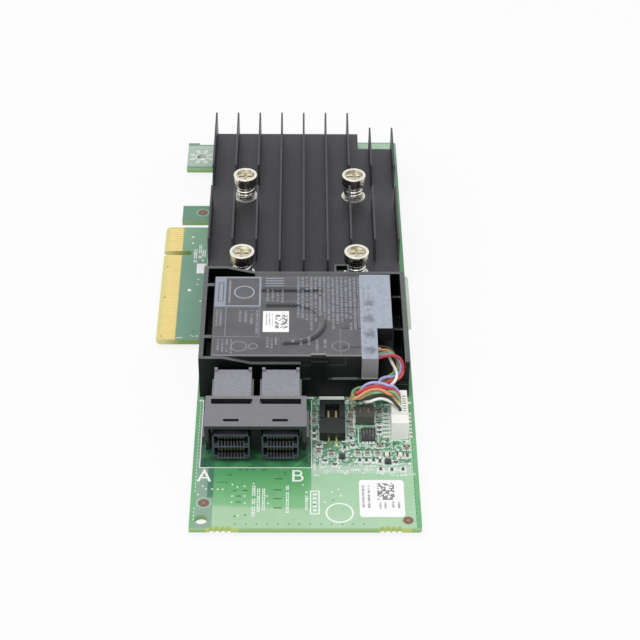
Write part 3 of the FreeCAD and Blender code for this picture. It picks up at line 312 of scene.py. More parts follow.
def boardFinish():
    f = Finish("solderMask", greens["paleNear"], Coat_Weight=0.15)
    zone = {name: f.inside(*spans) for name, spans in boardZones.items()}
    f.paint(f.blend(1.0, 18.0, f.y), greens["pale"])
    plane = f.mix(f.blend(8.0, 19.0, f.y), greens["middleNear"], greens["middle"])
    plane = f.mix(f.blend(7.8, 6.4, f.y + (f.x - 30.0) * 0.05), plane, greens["near"])
    f.paint(zone["nearPlane"], plane)
    # uneven green between the small parts, paler towards the near end
    blotch = f.noise(0.55, 3.0, 0.6)
    parts = f.mix(f.blend(0.36, 0.46, blotch), greens["partsDark"], greens["parts"])
    parts = f.mix(f.blend(0.53, 0.6, f.noise(0.9, 2.0)), parts, greens["partsPale"])
    parts = f.mix(f.blend(24.2, 22.4, f.y + blotch * 2.0) * 0.9, parts, greens["partsNear"])
    f.paint(zone["parts"], parts)
    # painted shade under the ports darkens the port box, with one slanting stripe; its near side is painted
    # lighter, where the painted shade gives way
    stripe = abs((f.x - 39.5) - (f.y - 23.5) * 0.9) < 0.35
    box = f.mix(f.blend(0.4, 0.6, f.noise(0.3)) * 0.4 + stripe * 0.35, greens["portBox"], greens["middle"])
    lit = f.blend(16.0, 20.0, f.x) * f.blend(42.0, 37.5, f.x) * f.blend(27.0, 22.0, f.y)
    f.paint(zone["portBox"], f.mix(lit * 0.4, box, greens["middle"]))
    strip = f.mix(zone["paleStrip"], greens["strip"], greens["stripDark"])
    f.paint(zone["leftNear"] | zone["leftFar"], f.mix(f.x < 13.7, strip, greens["border"]))
    f.paint(f.x > 67.6, greens["border"])
    f.paint(zone["finger"], f.mix(f.blend(108.0, 118.0, f.y), greens["finger"], greens["fingerFar"]))
    f.paint(f.y > 150.0, f.mix(zone["tab"], greens["finger"], greens["tab"]))
    f.paint(zone["pegs"], greens["pegs"])
    marks = f.noise(1.0, 2.0, stretch=(2.4, 0.8, 1.0)) > 0.52
    f.paint(zone["corner"], f.mix(marks * 0.6, greens["corner"], greens["partsNear"]))
    f.paint(f.blend(0.35, 0.7, f.noise(0.22, 3.0)) * 0.5, f.tone(0.9))
    # copper under the mask: fans of tracks from the contacts, and fine runs elsewhere
    fan = (abs((f.y + 0.5).fract() - 0.5) < 0.16) * zone["fan"]
    fan = fan | (abs((f.y + f.x * 1.1).fract() - 0.5) < 0.13) * zone["fanSlant"]
    runs = f.noise(1.0, 2.0, stretch=(0.3, 2.6, 1.0)) > 0.6
    across = f.noise(1.0, 2.0, stretch=(2.8, 0.3, 1.0)) > 0.62
    copper = fan | (runs | across) * (f.x > 6.0) * 0.5
    f.paint(copper * 0.6, f.tone(1.14, 0.85))
    f.paint(zone["contacts"], greens["gap"])
    # the cut edge shows the laminate
    edge = abs(f.facing(2)) < 0.6
    glow = f.blend(-0.2, -1.4, f.z + (f.noise(2.0) - 0.5) * 0.3)
    laminate = f.mix(glow, greens["laminate"], greens["laminateLow"])
    gilded = f.mix(f.blend(2.0, 7.0, f.x), greens["fingerLaminate"], greens["slotGreen"])
    laminate = f.mix(zone["gildedEdge"], laminate, gilded)
    laminate = f.mix(zone["pegs"] * 0.6, laminate, greens["pegEdge"])
    laminate = f.mix((zone["leftBite"] | zone["rightBite"]) * 0.6, laminate, greens["bite"])
    f.paint(edge, laminate)
    f.set("Roughness", f.blend(0.0, 1.0, f.noise(3.0)) * 0.12 + 0.3 + edge * 0.35)
    weave = f.noise(1.6, 1.0, stretch=(4.0, 1.0, 1.0)) + f.noise(1.6, 1.0, stretch=(1.0, 4.0, 1.0))
    f.bump(weave * 0.3 + copper * 0.7, 0.35, 0.03)
    return f


metals = {  # colour, roughness, stretch of the scratches, dirt
    "hardGold": ((244, 220, 150), 0.34, (1, 8, 1), 0.05),
    "wornContact": ((132, 118, 96), 0.4, (1, 8, 1), 0.2),
    "brightSteel": ((240, 238, 233), 0.4),
    "springSteel": ((240, 238, 232), 0.22),
    "tinPlate": ((238, 238, 234), 0.34),
    "solder": ((226, 228, 226), 0.3),
}


def metalFinish(name, colour, rough, scratch=(6, 6, 6), dirt=0.15):
    f = Finish(name, colour, rough, 1.0)
    f.paint(f.blend(0.45, 0.75, f.noise(1.5, 3.0)) * dirt * 3, f.tone(0.8))
    streaks = f.noise(1.0, 2.0, stretch=scratch)
    f.set("Roughness", f.blend(0.2, 0.8, streaks) * 0.16 + (rough - 0.06))
    f.bump(streaks, 0.15, 0.01, 0.08)
    return f


nickel = {  # the sprung screws, with a painted highlight on the rims, painted shade at the dishes' edges and painted glints
    "plain": (206, 200, 184),
    "dish": (206, 199, 170),
    "dishEdgeShade": (150, 142, 116),
    "paintedGlint": (238, 232, 212),
    "rimHighlight": (238, 235, 226),
    "headRadius": 3.4,
}


def screwFinish():
    # painted highlights on the rims, painted shade towards the dishes' edges with painted glints on the
    # dished faces, and plain sides
    f = Finish("warmNickel", nickel["plain"], metal=1.0)
    low, high = nodeBox("spring_screws")
    middle = (low + high) / 2
    half = (high - low) / 2 - Vector((nickel["headRadius"], nickel["headRadius"], 0))
    across = f.combine(abs(f.x - middle.x) - half.x, abs(f.y - middle.y) - half.y)
    radius = f.vector("LENGTH", across)
    # painted glints on the dished faces; the same noise also raises the bump
    paintedGlint = f.blend(0.42, 0.62, f.noise(0.75, 2.0, 0.6))
    dish = f.mix(f.blend(1.7, 2.5, radius), nickel["dish"], nickel["dishEdgeShade"])
    dish = f.mix(paintedGlint * 0.8, dish, nickel["paintedGlint"])
    # painted highlight on the rim, over the dish and its painted shade
    f.paint(f.z > high.z - 0.75, f.mix(f.blend(2.5, 2.7, radius), dish, nickel["rimHighlight"]))
    f.paint(f.z < high.z - 1.2, nickel["plain"])
    f.set("Roughness", f.blend(0.2, 0.8, f.noise(1.5, 3.0)) * 0.14 + 0.2)
    f.bump(paintedGlint, 0.5, 0.12, 0.3)
    return f


def heatSinkFinish():
    f = Finish("blackAnodised", (62, 62, 67), metal=0.25)
    drawn = f.noise(1.0, 3.0, stretch=(9.0, 0.12, 9.0))
    f.paint(f.blend(0.3, 0.75, f.noise(0.12, 3.0)) * 0.5, (76, 76, 81))
    f.paint(f.blend(0.55, 0.8, drawn) * 0.35, (92, 92, 97))
    # painted highlights along the edges
    f.paint(f.edges(0.14) * 0.6, (126, 126, 130))
    f.set("Roughness", f.blend(0.3, 0.7, drawn) * 0.15 + 0.34)
    f.bump(drawn, 0.25, 0.02, 0.08)
    return f


def coverFinish():
    f = Finish("mottledCover", (126, 126, 134))
    cloud = f.noise(1.6, 5.0, 0.7, stretch=(1.0, 1.6, 1.0))
    fleck = f.noise(5.0, 3.0, 0.7)
    f.paint(f.blend(0.3, 0.7, cloud), (153, 153, 161))
    f.paint(f.blend(0.6, 0.8, fleck) * 0.35, (118, 118, 127))
    f.paint(f.edges(0.2) * 0.6, (98, 100, 106))
    f.set("Roughness", f.blend(0.3, 0.7, fleck) * 0.2 + 0.4)
    f.bump(fleck, 0.4, 0.03, 0.1)
    return f


plastics = {  # colour, roughness, strength and size of the grain, edge radius, mottle, colour of the painted edge highlights
    "tinnedLand": ((236, 242, 234), 0.35, 0.2, 5.0, 0.03, 0.04),
    "bareCopper": ((134, 100, 86), 0.5, 0.3, 4.0, 0.05, 0.2),
    "spotCentre": ((172, 138, 118), 0.5, 0.3, 4.0, 0.05, 0.1),
    "tabStar": ((224, 234, 224), 0.4, 0.2, 5.0, 0.03, 0.12),
    "paleMask": ((176, 206, 178), 0.5, 0.2, 4.0, 0.03, 0.06),
    "darkMask": ((62, 124, 84), 0.4, 0.2, 4.0, 0.03, 0.1),
    "legendInk": ((246, 250, 246), 0.6, 0.3, 5.0, 0.02, 0.03),
    "windowShade": ((168, 164, 152), 0.6, 0.2, 5.0, 0.02, 0.1),
    "clearFlap": ((84, 84, 88), 0.4, 0.2, 3.0, 0.05, 0.15),
    "portPlastic": ((24, 31, 31), 0.4, 0.25, 8.0, 0.1, 0.12, (92, 98, 100)),
    "nosePlastic": ((46, 52, 62), 0.35, 0.2, 8.0, 0.08, 0.1, (150, 156, 166)),
    "resistorBody": ((92, 98, 92), 0.45, 0.3, 6.0, 0.04, 0.12),
    "softPad": ((150, 156, 160), 0.7, 0.4, 4.0, 0.1, 0.12),
}


def plasticFinish(name, colour, rough, grain, size, soft, mottle, edgeHighlight=None, **sockets):
    f = Finish(name, colour, rough, **sockets)
    f.paint(f.patches() * (mottle * 4), f.tone(0.8))
    if edgeHighlight:
        # painted highlights along the edges
        f.paint(f.edges(soft * 1.6) * 0.85, edgeHighlight)
    f.grain(size, rough - 0.05, grain, soft)
    return f


def trayFinish():
    # nearly black, with painted light on the upward wall tops, painted shade on the near-facing faces and
    # painted edge highlights; the clip and the ribs inside the side pocket are kept dark as painted shade
    f = Finish("trayPlastic", (14, 17, 18), Specular_IOR_Level=0.35)
    # dark: the clip and the ribs in the side pocket, which get no painted light on their tops and less edge
    # highlight
    dark = f.inside((41.4, 47.4), (46.5, 50.0)) | f.inside((59.8, 66.1), (49.4, 86.9))
    level = f.facing(2) > 0.7
    patches = f.patches()
    f.paint(patches * 0.5, (24, 28, 29))
    # painted shade on the faces that turn to the near side, then painted light on the upward wall tops
    f.paint(f.facing(1) < -0.8, (3, 6, 6))
    f.paint(level * (f.z > 7.0) * (1 - dark), f.mix(patches, (97, 100, 101), (88, 91, 92)))
    # the low ledge by the pack: painted shade, with a painted highlight along part of it
    sill = level * (abs(f.z - 6.0) < 0.3) * f.inside((40.0, 60.0), (48.0, 49.4))
    f.paint(sill, (52, 59, 56))
    f.paint(sill * f.inside((47.6, 54.2), (48.0, 49.4)), (100, 105, 106))
    # painted highlights along the edges
    f.paint(f.edges(0.24) * 0.75 * (1 - dark * 0.8), (104, 108, 108))
    f.grain(8.0, 0.38, 0.3, 0.16)
    return f


def hoodFinish():
    f = Finish("hoodPlastic", (124, 123, 127))
    f.paint(f.patches() * 0.5, (112, 111, 116))
    # painted highlights along the edges
    f.paint(f.edges(0.22) * 0.7, (164, 164, 166))
    # painted shade on the near-facing faces and on the lower parts
    f.paint((f.facing(1) < -0.8) | (f.z < 8.6), (38, 41, 42))
    f.grain(8.0, 0.42, 0.3, 0.15)
    return f


specks = {  # two colours, how they blend, noise, roughness, bump; a mark, its strength and colour
    "chipCeramic": ((170, 156, 138), (132, 120, 106), (0.4, 0.7), (4.0, 3.0), 0.4, (0.2, 0.02, 0.05)),
    "mouldedChip": ((50, 52, 54), (74, 77, 78), (0.4, 0.75), (6.0, 3.0), 0.5, (0.3, 0.02, 0.06),
                    ((55.4, 58.2), (31.6, 34.6), 0.8, 0.6, 0.4, 0.3), 0.5, (150, 154, 152)),
    "pressedPowder": ((64, 68, 61), (100, 101, 90), (0.35, 0.7), (9.0, 3.0, 0.7), 0.6, (0.5, 0.04, 0.12),
                      ((54.6, 57.4), (38.8, 40.8), 1.0, 0.0, 0.5, 0.5), 0.6, (150, 140, 120)),
}


def speckFinish(name, first, second, bounds, noise, rough, relief, mark=None, share=0.0, colour=None):
    f = Finish(name, first, rough)
    speck = f.noise(*noise)
    f.paint(f.blend(*bounds, speck), second)
    if mark:
        f.paint(f.smallPrint(*mark) * share, colour)
    f.bump(speck, *relief)
    return f


def clearFinish(name, colour, alpha, rough):
    f = Finish(name, colour, rough)
    haze = f.noise(0.6, 3.0)
    f.set("Alpha", f.blend(0.2, 0.8, haze) * 0.12 + (alpha - 0.06))
    f.bump(haze, 0.2, 0.03)
    return f


def packFinish():
    # the film's rounded corner hangs over the near face and shows as a faint line
    f = Finish("packBody", (16, 20, 21))
    hem = (abs(f.z - 9.98) < 0.16) * f.inside((39.6, 51.1), (48.0, 50.0))
    hem = hem | (abs(f.x - 51.0) < 0.16) * (f.z > 9.98) * f.inside((50.0, 52.0), (48.0, 50.0))
    f.paint(f.patches(0.5) * 0.4, (26, 31, 31))
    # painted highlights along the edges
    f.paint(f.edges(0.2) * 0.5, (96, 98, 100))
    f.paint(hem * 0.8, (62, 72, 68))
    f.grain(6.0, 0.42, 0.2, 0.2)
    return f


film = {  # the printed film over the pack
    "base": (81, 80, 85),
    "ink": (152, 158, 172),
    "inkDim": (126, 129, 138),
    "panel": (142, 150, 166),
    "dentShades": (69.9, 60.7, 53.0),  # y of the dips along the film's right side, which are painted in shade
    "wordRows": [  # x, y, pitch, ragged ends, share of the pitch that is inked
        ((16.9, 18.9), (60.6, 68.8), 1.0, 1.2),
        ((23.0, 28.2), (57.8, 68.5), 1.5, 6.0, 0.45),
        ((30.2, 34.8), (70.4, 76.9), 1.35, 2.0, 0.5),
        ((38.4, 54.9), (59.5, 83.2), 1.16, 6.0, 0.6),
        ((17.6, 21.6), (50.2, 56.4), 1.15, 1.0, 0.45),
        ((30.4, 33.8), (50.8, 57.2), 1.1, 2.0, 0.6),
        ((37.0, 47.2), (50.6, 56.4), 2.1, 3.5, 0.35),
    ],
    "clip": (42.0, 46.0),
}


def labelFinish():
    f = Finish("printedFilm", film["base"], Coat_Weight=0.1)
    f.paint(f.blend(0.3, 0.7, f.noise(0.25, 3.0)), (93, 92, 95))
    # painted highlights along the edges
    f.paint(f.edges(0.5, 0.2) * 0.5, (146, 143, 144))
    # a hooked ridge and a straight one, raised by what lies under the film: one side painted lit, the other
    # painted in shade
    bendX = (f.x - 37.3) | 0.0
    bendY = f.y - 63.0
    reach = f.vector("LENGTH", f.combine(bendX, bendY))
    outward = reach - 8.0
    slope = outward * (bendY * 0.85 - bendX * 0.5) / (reach + 0.01)
    hook = f.blend(1.25, 0.85, abs(outward)) * (f.x > 30.1) * ((f.y > 60.0) | (f.x > 34.6))
    rod = f.inside((28.9, 45.1), (76.2, 79.0))
    for slant, ridge in ((slope, hook), (f.y - 77.6, rod)):
        f.paint(f.blend(0.0, 0.55, slant) * ridge * 0.6, (138, 131, 128))
        f.paint(f.blend(0.0, -0.5, slant) * ridge * 0.85, (50, 49, 53))
    # painted shade in the dips
    for y in film["dentShades"]:
        dentShade = f.blend(0.65, 0.2, abs(f.y - y)) * f.inside((50.2, 56.5), (50.0, 72.0))
        f.paint(dentShade * 0.8, (50, 49, 54))
    # print: one panel, bold and thin frames and rings, and small words
    panel = f.inside((16.4, 19.3), (70.6, 82.6)) * (1 - f.frameLine((17.2, 18.7), (72.2, 80.6), 0.25))
    f.paint(panel, film["panel"])
    bold = anyOf([
        f.frameLine((15.9, 28.7), (70.1, 83.0), 0.5), f.ringLine(24.2, 76.3, 2.6, 0.45),
        f.inside((20.0, 20.6), (71.6, 81.4)) * 0.6,
        f.inside((29.9, 34.8), (79.0, 82.8)) * ((f.y * 0.9).fract() < 0.35),
    ])
    thin = anyOf([
        f.frameLine((16.1, 28.6), (57.2, 69.9), 0.22), f.inside((19.4, 19.65), (57.4, 69.8)),
        f.ringLine(49.8, 53.5, 2.2, 0.3, 1.1), f.ringLine(23.3, 53.4, 2.0, 0.35),
        f.ringLine(27.0, 53.4, 1.1, 0.35),
    ])
    words = anyOf([f.smallPrint(*row) for row in film["wordRows"]])
    # the film's near hem, and the tray's clip that stands through it
    near = nodeBox("battery_label")[0].y
    hem = (f.y < near + 0.45) | f.frameLine((49.6, 56.0), (48.0, 60.4), 0.3) * 0.5
    f.paint(hem * 0.8, (140, 140, 145))
    f.paint(words, film["inkDim"])
    f.paint(thin, film["inkDim"])
    f.paint(bold, film["ink"])
    f.paint(f.inside(film["clip"], (near - 1.0, near + 0.95)), (166, 166, 170))
    f.paint(f.inside(film["clip"], (near - 1.0, near + 0.55)), (2, 3, 3))
    pressed = f.inside((51.2, 54.2), (61.5, 70.6)) | f.inside((48.7, 55.0), (51.4, 61.0)) * 0.6
    f.set("Roughness", f.blend(0.2, 0.8, f.noise(2.0)) * 0.14 + 0.36)
    f.bump(pressed * 1.5 + f.noise(0.7, 3.0) * 0.6 + words * 0.1, 0.5, 0.1)
    return f


def stripFinish():
    # smudged over four cells beneath; its near end turns down, with a nearly white painted highlight on the
    # fold and painted shade on the near face below it
    f = Finish("stripFilm", (166, 173, 187), 0.45)
    normal = f.node("ShaderNodeNewGeometry", output="Normal")
    front = f.node("ShaderNodeSeparateXYZ", inputs=[normal], output=1)
    f.paint(f.blend(0.42, 0.72, f.noise(0.55, 4.0, 0.65)) * 0.45, (128, 135, 149))
    for cell in range(4):
        flat = f.combine(f.x - 57.6, (f.y - 71.6 + 6.6 * cell) * 0.9)
        reach = f.vector("LENGTH", flat) + (f.noise(0.8, 3.0) - 0.5) * 2.6
        f.paint(f.blend(1.9, 0.7, reach) * 0.6, (82, 87, 100))
    small = f.smallPrint((56.0, 58.8), (50.5, 83.0), 1.3, 0.0, 0.45)
    f.paint(small * 0.4 * (f.noise(0.4) > 0.5), (112, 118, 132))
    foot = nodeBox("battery_strip")[0].z + 0.45
    # painted highlight along the fold, painted shade on the near face below it
    f.paint(front < -0.5, f.mix(f.z < foot, (146, 146, 150), (214, 216, 218)))
    f.bump(f.noise(0.9, 3.0), 0.3, 0.08, 0.15)
    return f


def stickerFinish(name, codeBox, printRows):
    # white paper with a made-up block code and lines of small print
    f = Finish(name, (249, 250, 249), 0.6)
    cell = 0.42
    places = f.combine((f.x / cell).floor(), (f.y / cell).floor())
    dots = f.node("ShaderNodeTexWhiteNoise", {"noise_dimensions": "2D"}, {"Vector": places})
    code = (dots > 0.52) * f.inside(*codeBox)
    dark = anyOf([code, *(f.smallPrint(*row, 2.0, 0.4, 0.35) * 0.75 for row in printRows)])
    paper = f.noise(3.0, 3.0)
    f.paint(f.blend(0.4, 0.8, paper) * 0.3, (238, 240, 240))
    f.paint(dark * 0.8, (70, 74, 80))
    f.bump(paper, 0.1, 0.02)
    return f


stickers = {  # the block code's box, and rows of print: x, y, pitch
    "packSticker": (((32.6, 35.9), (60.6, 66.4)), [((30.2, 32.0), (60.2, 67.0), 0.8)]),
    "ratingSticker": (((58.4, 62.6), (9.6, 15.5)), [
        ((54.6, 57.4), (4.8, 14.9), 1.4), ((58.8, 61.2), (4.4, 8.9), 1.2), ((61.9, 64.4), (4.8, 9.2), 1.4),
    ]),
}

finishes = {finish.material.name: finish for finish in (
    boardFinish(), screwFinish(), heatSinkFinish(), coverFinish(), trayFinish(), hoodFinish(),
    packFinish(), labelFinish(), stripFinish(),
    clearFinish("ledResin", (240, 236, 216), 0.95, 0.2),
    clearFinish("insulatorFilm", (226, 230, 223), 0.9, 0.4),
    plasticFinish("whiteNylon", (246, 246, 240), 0.4, 0.15, 6.0, 0.12, 0.05,
                  Subsurface_Weight=0.1, Subsurface_Scale=0.001),
    *(metalFinish(name, *look) for name, look in metals.items()),
    *(speckFinish(name, *look) for name, look in specks.items()),
    *(plasticFinish(name, *look) for name, look in plastics.items()),
    *(stickerFinish(name, *look) for name, look in stickers.items()),
)}

nodeFinishes = {
    "solderMask": "circuit_board",
    "hardGold": "edge_contacts socket_pins",
    "wornContact": "port_a_contacts port_b_contacts",
    "tinnedLand": "socket_anchor header_tails",
    "blackAnodised": "heat_sink",
    "warmNickel": "spring_screws",
    "brightSteel": "screw_washers board_nuts",
    "springSteel": "screw_springs",
    "tinPlate": "port_tails chip_terminals",
    "trayPlastic": "battery_tray",
    "packBody": "battery_case",
    "printedFilm": "battery_label",
    "stripFilm": "battery_strip",
    "packSticker": "battery_sticker",
    "ratingSticker": "rating_sticker",
    "hoodPlastic": "port_hood",
    "portPlastic": "port_a_receptacle port_b_receptacle port_a_wafers port_b_wafers "
                   "socket_block socket_shroud",
    "mottledCover": "port_a_cover port_b_cover",
    "whiteNylon": "battery_header battery_plug",
    "mouldedChip": "raid_processor memory_chips power_chip small_transistors",
    "resistorBody": "chip_resistors",
    "softPad": "thermal_pad",
    "pressedPowder": "power_inductor",
    "chipCeramic": "chip_capacitors underside_capacitors",
    "ledResin": "status_leds",
    "insulatorFilm": "edge_insulator",
}
for finishName, nodeNames in nodeFinishes.items():
    for nodeName in nodeNames.split():
        slots = nodes[nodeName].data.materials
        slots.clear()
        slots.append(finishes[finishName].material)
print("finishes made")


leadRoutes = {  # each wire's path from the pack to the plug, in card millimetres
    "red": [
        (59.65, 52.6, 9.6), (61.79, 53.16, 9.98), (63.79, 53.47, 9.88), (65.56, 52.74, 9.39),
        (66.23, 50.87, 8.59), (65.95, 48.55, 7.6), (64.73, 47.54, 6.71), (62.65, 46.9, 6.54),
        (60.49, 45.77, 6.61), (58.01, 44.06, 6.51), (55.43, 42.63, 6.47), (53.7, 41.15, 6.78),
        (53.51, 39.95, 8.01), (53.78, 39.69, 8.67), (55.45, 40.48, 9.19), (57.54, 41.57, 9.5),
        (59.75, 41.36, 9.51), (61.94, 40.82, 9.28), (63.4, 40.81, 8.75), (64.58, 40.44, 7.5),
        (64.8, 40.4, 6.35),
    ],
    "blue": [
        (59.65, 53.6, 9.5), (61.71, 54.39, 9.4), (63.61, 54.21, 9.19), (65.0, 53.25, 8.78),
        (65.78, 51.59, 7.99), (65.36, 49.53, 7.09), (63.8, 48.14, 6.96), (61.98, 47.82, 7.36),
        (60.2, 47.27, 7.18), (59.59, 46.18, 6.51), (58.62, 45.06, 5.72), (56.78, 43.55, 5.55),
        (55.28, 41.57, 5.98), (54.34, 40.5, 7.23), (54.69, 41.17, 8.4), (55.91, 42.11, 9.38),
        (57.83, 42.47, 9.98), (60.02, 42.05, 10.11), (62.09, 40.93, 10.11), (63.34, 41.7, 9.27),
        (64.58, 41.43, 7.71), (64.8, 41.4, 6.35),
    ],
    "green": [
        (59.65, 54.6, 9.3), (61.77, 55.85, 9.0), (63.47, 55.58, 8.68), (64.77, 54.23, 8.0),
        (65.3, 52.54, 7.21), (64.92, 50.5, 6.67), (63.44, 50.1, 6.51), (62.04, 49.25, 5.97),
        (60.59, 47.57, 5.74), (58.47, 45.96, 5.62), (56.43, 44.81, 5.98), (54.89, 44.71, 6.42),
        (53.15, 43.07, 7.01), (52.48, 40.44, 7.56), (53.39, 39.01, 7.55), (55.02, 39.75, 7.92),
        (56.98, 40.64, 8.28), (58.94, 40.3, 8.28), (61.18, 40.56, 8.53), (63.5, 39.53, 9.33),
        (64.64, 38.59, 7.41), (64.8, 38.6, 6.35),
    ],
    "orange": [
        (59.65, 56.4, 9.0), (61.71, 56.84, 9.11), (63.39, 56.6, 8.26), (64.54, 55.06, 7.31),
        (64.91, 52.96, 6.51), (64.4, 51.03, 5.82), (63.29, 49.35, 5.63), (61.93, 47.89, 5.52),
        (60.08, 46.47, 5.02), (57.84, 45.12, 4.98), (55.73, 43.92, 5.67), (53.74, 42.87, 6.32),
        (52.18, 40.55, 6.62), (52.68, 38.28, 7.51), (54.56, 38.85, 8.56), (56.4, 40.22, 9.03),
        (58.34, 40.88, 9.13), (60.28, 40.3, 9.36), (62.05, 39.09, 8.73), (63.22, 39.6, 8.1),
        (64.56, 39.55, 7.37), (64.8, 39.5, 6.35),
    ],
    "yellow": [
        (59.7, 55.5, 8.4), (61.37, 57.14, 7.37), (62.84, 56.32, 6.57), (63.92, 54.53, 5.91),
        (63.99, 52.28, 5.41), (63.09, 50.12, 5.18), (61.59, 48.39, 4.98), (59.94, 47.14, 4.53),
        (57.7, 46.21, 3.87), (55.35, 44.78, 4.14), (54.0, 43.03, 5.24), (53.34, 40.78, 6.21),
        (54.34, 39.46, 6.93), (56.08, 40.52, 7.37), (58.09, 41.03, 7.6), (60.36, 41.07, 7.83),
        (62.06, 40.11, 7.59), (63.19, 38.08, 7.68), (64.56, 37.61, 7.19), (64.8, 37.6, 6.4),
    ],
    "black": [
        (59.7, 58.3, 8.8), (61.9, 59.16, 8.19), (63.8, 58.28, 7.38), (64.65, 56.61, 6.21),
        (64.89, 54.58, 5.14), (64.57, 51.76, 4.88), (63.41, 48.97, 4.86), (61.75, 47.13, 4.76),
        (59.86, 46.52, 3.78), (57.72, 45.68, 3.21), (55.66, 44.22, 3.56), (53.68, 42.83, 4.4),
        (53.79, 40.03, 5.73), (56.12, 40.09, 6.61), (58.01, 40.52, 6.91), (59.68, 40.43, 7.25),
        (61.17, 39.77, 7.72), (62.73, 37.89, 8.33), (63.51, 36.34, 8.21), (64.57, 35.81, 7.21),
        (64.8, 35.8, 6.35),
    ],
    "white": [
        (59.7, 57.4, 8.9), (61.55, 57.33, 8.11), (62.56, 55.15, 7.97), (63.28, 52.72, 7.81),
        (64.14, 50.2, 7.85), (64.46, 47.72, 7.79), (63.6, 46.01, 6.82), (62.22, 45.93, 5.61),
        (60.32, 45.75, 4.5), (58.15, 45.28, 4.07), (56.21, 44.81, 4.67), (55.04, 43.11, 5.04),
        (55.51, 40.11, 5.49), (57.03, 38.97, 6.33), (58.64, 39.4, 6.88), (60.23, 39.59, 7.06),
        (61.83, 38.46, 7.34), (63.27, 37.1, 7.55), (64.57, 36.72, 7.16), (64.8, 36.7, 6.5),
    ],
}
lead = {
    "diameter": 0.8,
    "colours": {
        "red": (206, 56, 66), "blue": (168, 172, 222), "green": (128, 178, 128), "orange": (222, 150, 100),
        "yellow": (214, 190, 124), "black": (48, 48, 44), "white": (248, 248, 244),
    },
}


def wireFinish(colour):
    f = Finish(f"insulation_{colour}", lead["colours"][colour], 0.34, Coat_Weight=0.2)
    f.paint(f.blend(0.45, 0.75, f.noise(2.2, 3.0)) * 0.6, f.tone(0.82))
    f.bump(f.noise(5.0), 0.12, 0.02)
    return f


def leadWire(colour, route):
    curve = bpy.data.curves.new(f"lead_{colour}", "CURVE")
    curve.dimensions = "3D"
    curve.bevel_depth = lead["diameter"] / 2 * mm
    curve.bevel_resolution = 5
    curve.resolution_u = 10
    curve.use_fill_caps = True
    spline = curve.splines.new("NURBS")
    spline.points.add(len(route) - 1)
    for point, place in zip(spline.points, route):
        point.co = (*cardPoint(*place), 1.0)
    spline.order_u = 3
    spline.use_endpoint_u = True
    wire = bpy.data.objects.new(f"lead_{colour}", curve)
    bpy.context.scene.collection.objects.link(wire)
    curve.materials.append(wireFinish(colour).material)
    return wire


def splineLength(curveObject):
    bare = curveObject.data.copy()
    bare.bevel_depth = 0.0
    holder = bpy.data.objects.new("bare", bare)
    line = bpy.data.meshes.new_from_object(holder)
    points = [vertex.co for vertex in line.vertices]
    bpy.data.objects.remove(holder)
    return sum((b - a).length for a, b in zip(points, points[1:]))


for colour, route in leadRoutes.items():
    wire = leadWire(colour, route)
    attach(wire, "root")
    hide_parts(f"wire_{colour}")
    splineLength(wire)
print("battery lead laid")


# mesh tools, which all take card millimetres
def rectangle(x, y):
    return [(x[0], y[0]), (x[1], y[0]), (x[1], y[1]), (x[0], y[1])]


def spans(box, margin=0.0, marginY=None):
    # how far a box reaches along x and y, with a margin round it
    low, high = box
    marginY = margin if marginY is None else marginY
    return (low.x - margin, high.x + margin), (low.y - marginY, high.y + marginY)


def circlePoints(x, y, radius, count, start=0.0, turn=2 * math.pi):
    steps = count if turn >= 2 * math.pi else count - 1
    angles = [start + turn * i / steps for i in range(count)]
    return [(x + radius * math.cos(angle), y + radius * math.sin(angle)) for angle in angles]


def joinRings(mesh, first, second):
    for k in range(len(first)):
        after = (k + 1) % len(first)
        mesh.faces.new((first[k], first[after], second[after], second[k]))


def addLoft(mesh, first, second):
    # a solid between two outlines that have as many points
    first, second = ([mesh.verts.new(cardPoint(*place)) for place in outline] for outline in (first, second))
    mesh.faces.new(first[::-1])
    mesh.faces.new(second)
    joinRings(mesh, first, second)


def addPrism(mesh, outline, z):
    addLoft(mesh, *([(x, y, level) for x, y in outline] for level in z))


def addBox(mesh, x, y, z):
    addPrism(mesh, rectangle(x, y), z)


def addRoundBar(mesh, x, y, z, radius):
    # a box with rounded upright corners
    left, right, near, far = x[0] + radius, x[1] - radius, y[0] + radius, y[1] - radius
    quarter = math.pi / 2
    outline = []
    for i, corner in enumerate([(right, far), (left, far), (left, near), (right, near)]):
        outline += circlePoints(*corner, radius, 6, quarter * i, quarter)
    addPrism(mesh, outline, z)


def addDisc(mesh, x, y, radius, z, count):
    addPrism(mesh, circlePoints(x, y, radius, count), z)


def addRibbon(mesh, points, width, z, closed=False):
    # a flat line with mitred corners
    count = len(points)
    low, high = z
    sharpest = 0.35  # keeps the mitre of a sharp corner short
    rings = []
    for i, (x, y) in enumerate(points):
        before = points[i - 1] if i or closed else points[i]
        after = points[(i + 1) % count] if i < count - 1 or closed else points[i]
        ahead = Vector((after[0] - x, after[1] - y))
        behind = Vector((x - before[0], y - before[1]))
        ahead = ahead.normalized() if ahead.length else behind.normalized()
        behind = behind.normalized() if behind.length else ahead
        along = (ahead + behind).normalized()
        across = Vector((-along.y, along.x))
        stretch = width / 2 / max(sharpest, across.dot(Vector((-ahead.y, ahead.x))))
        left = (x + across.x * stretch, y + across.y * stretch)
        right = (x - across.x * stretch, y - across.y * stretch)
        rings.append([mesh.verts.new(cardPoint(*place, level)) for place, level in
                      ((left, low), (right, low), (right, high), (left, high))])
    for i in range(count if closed else count - 1):
        joinRings(mesh, rings[i], rings[(i + 1) % count])
    if not closed:
        mesh.faces.new(rings[0][::-1])
        mesh.faces.new(rings[-1])


def addRing(mesh, x, y, radius, width, z, count=40, squash=1.0):
    points = [(px, y + (py - y) * squash) for px, py in circlePoints(x, y, radius, count)]
    addRibbon(mesh, points, width, z, closed=True)


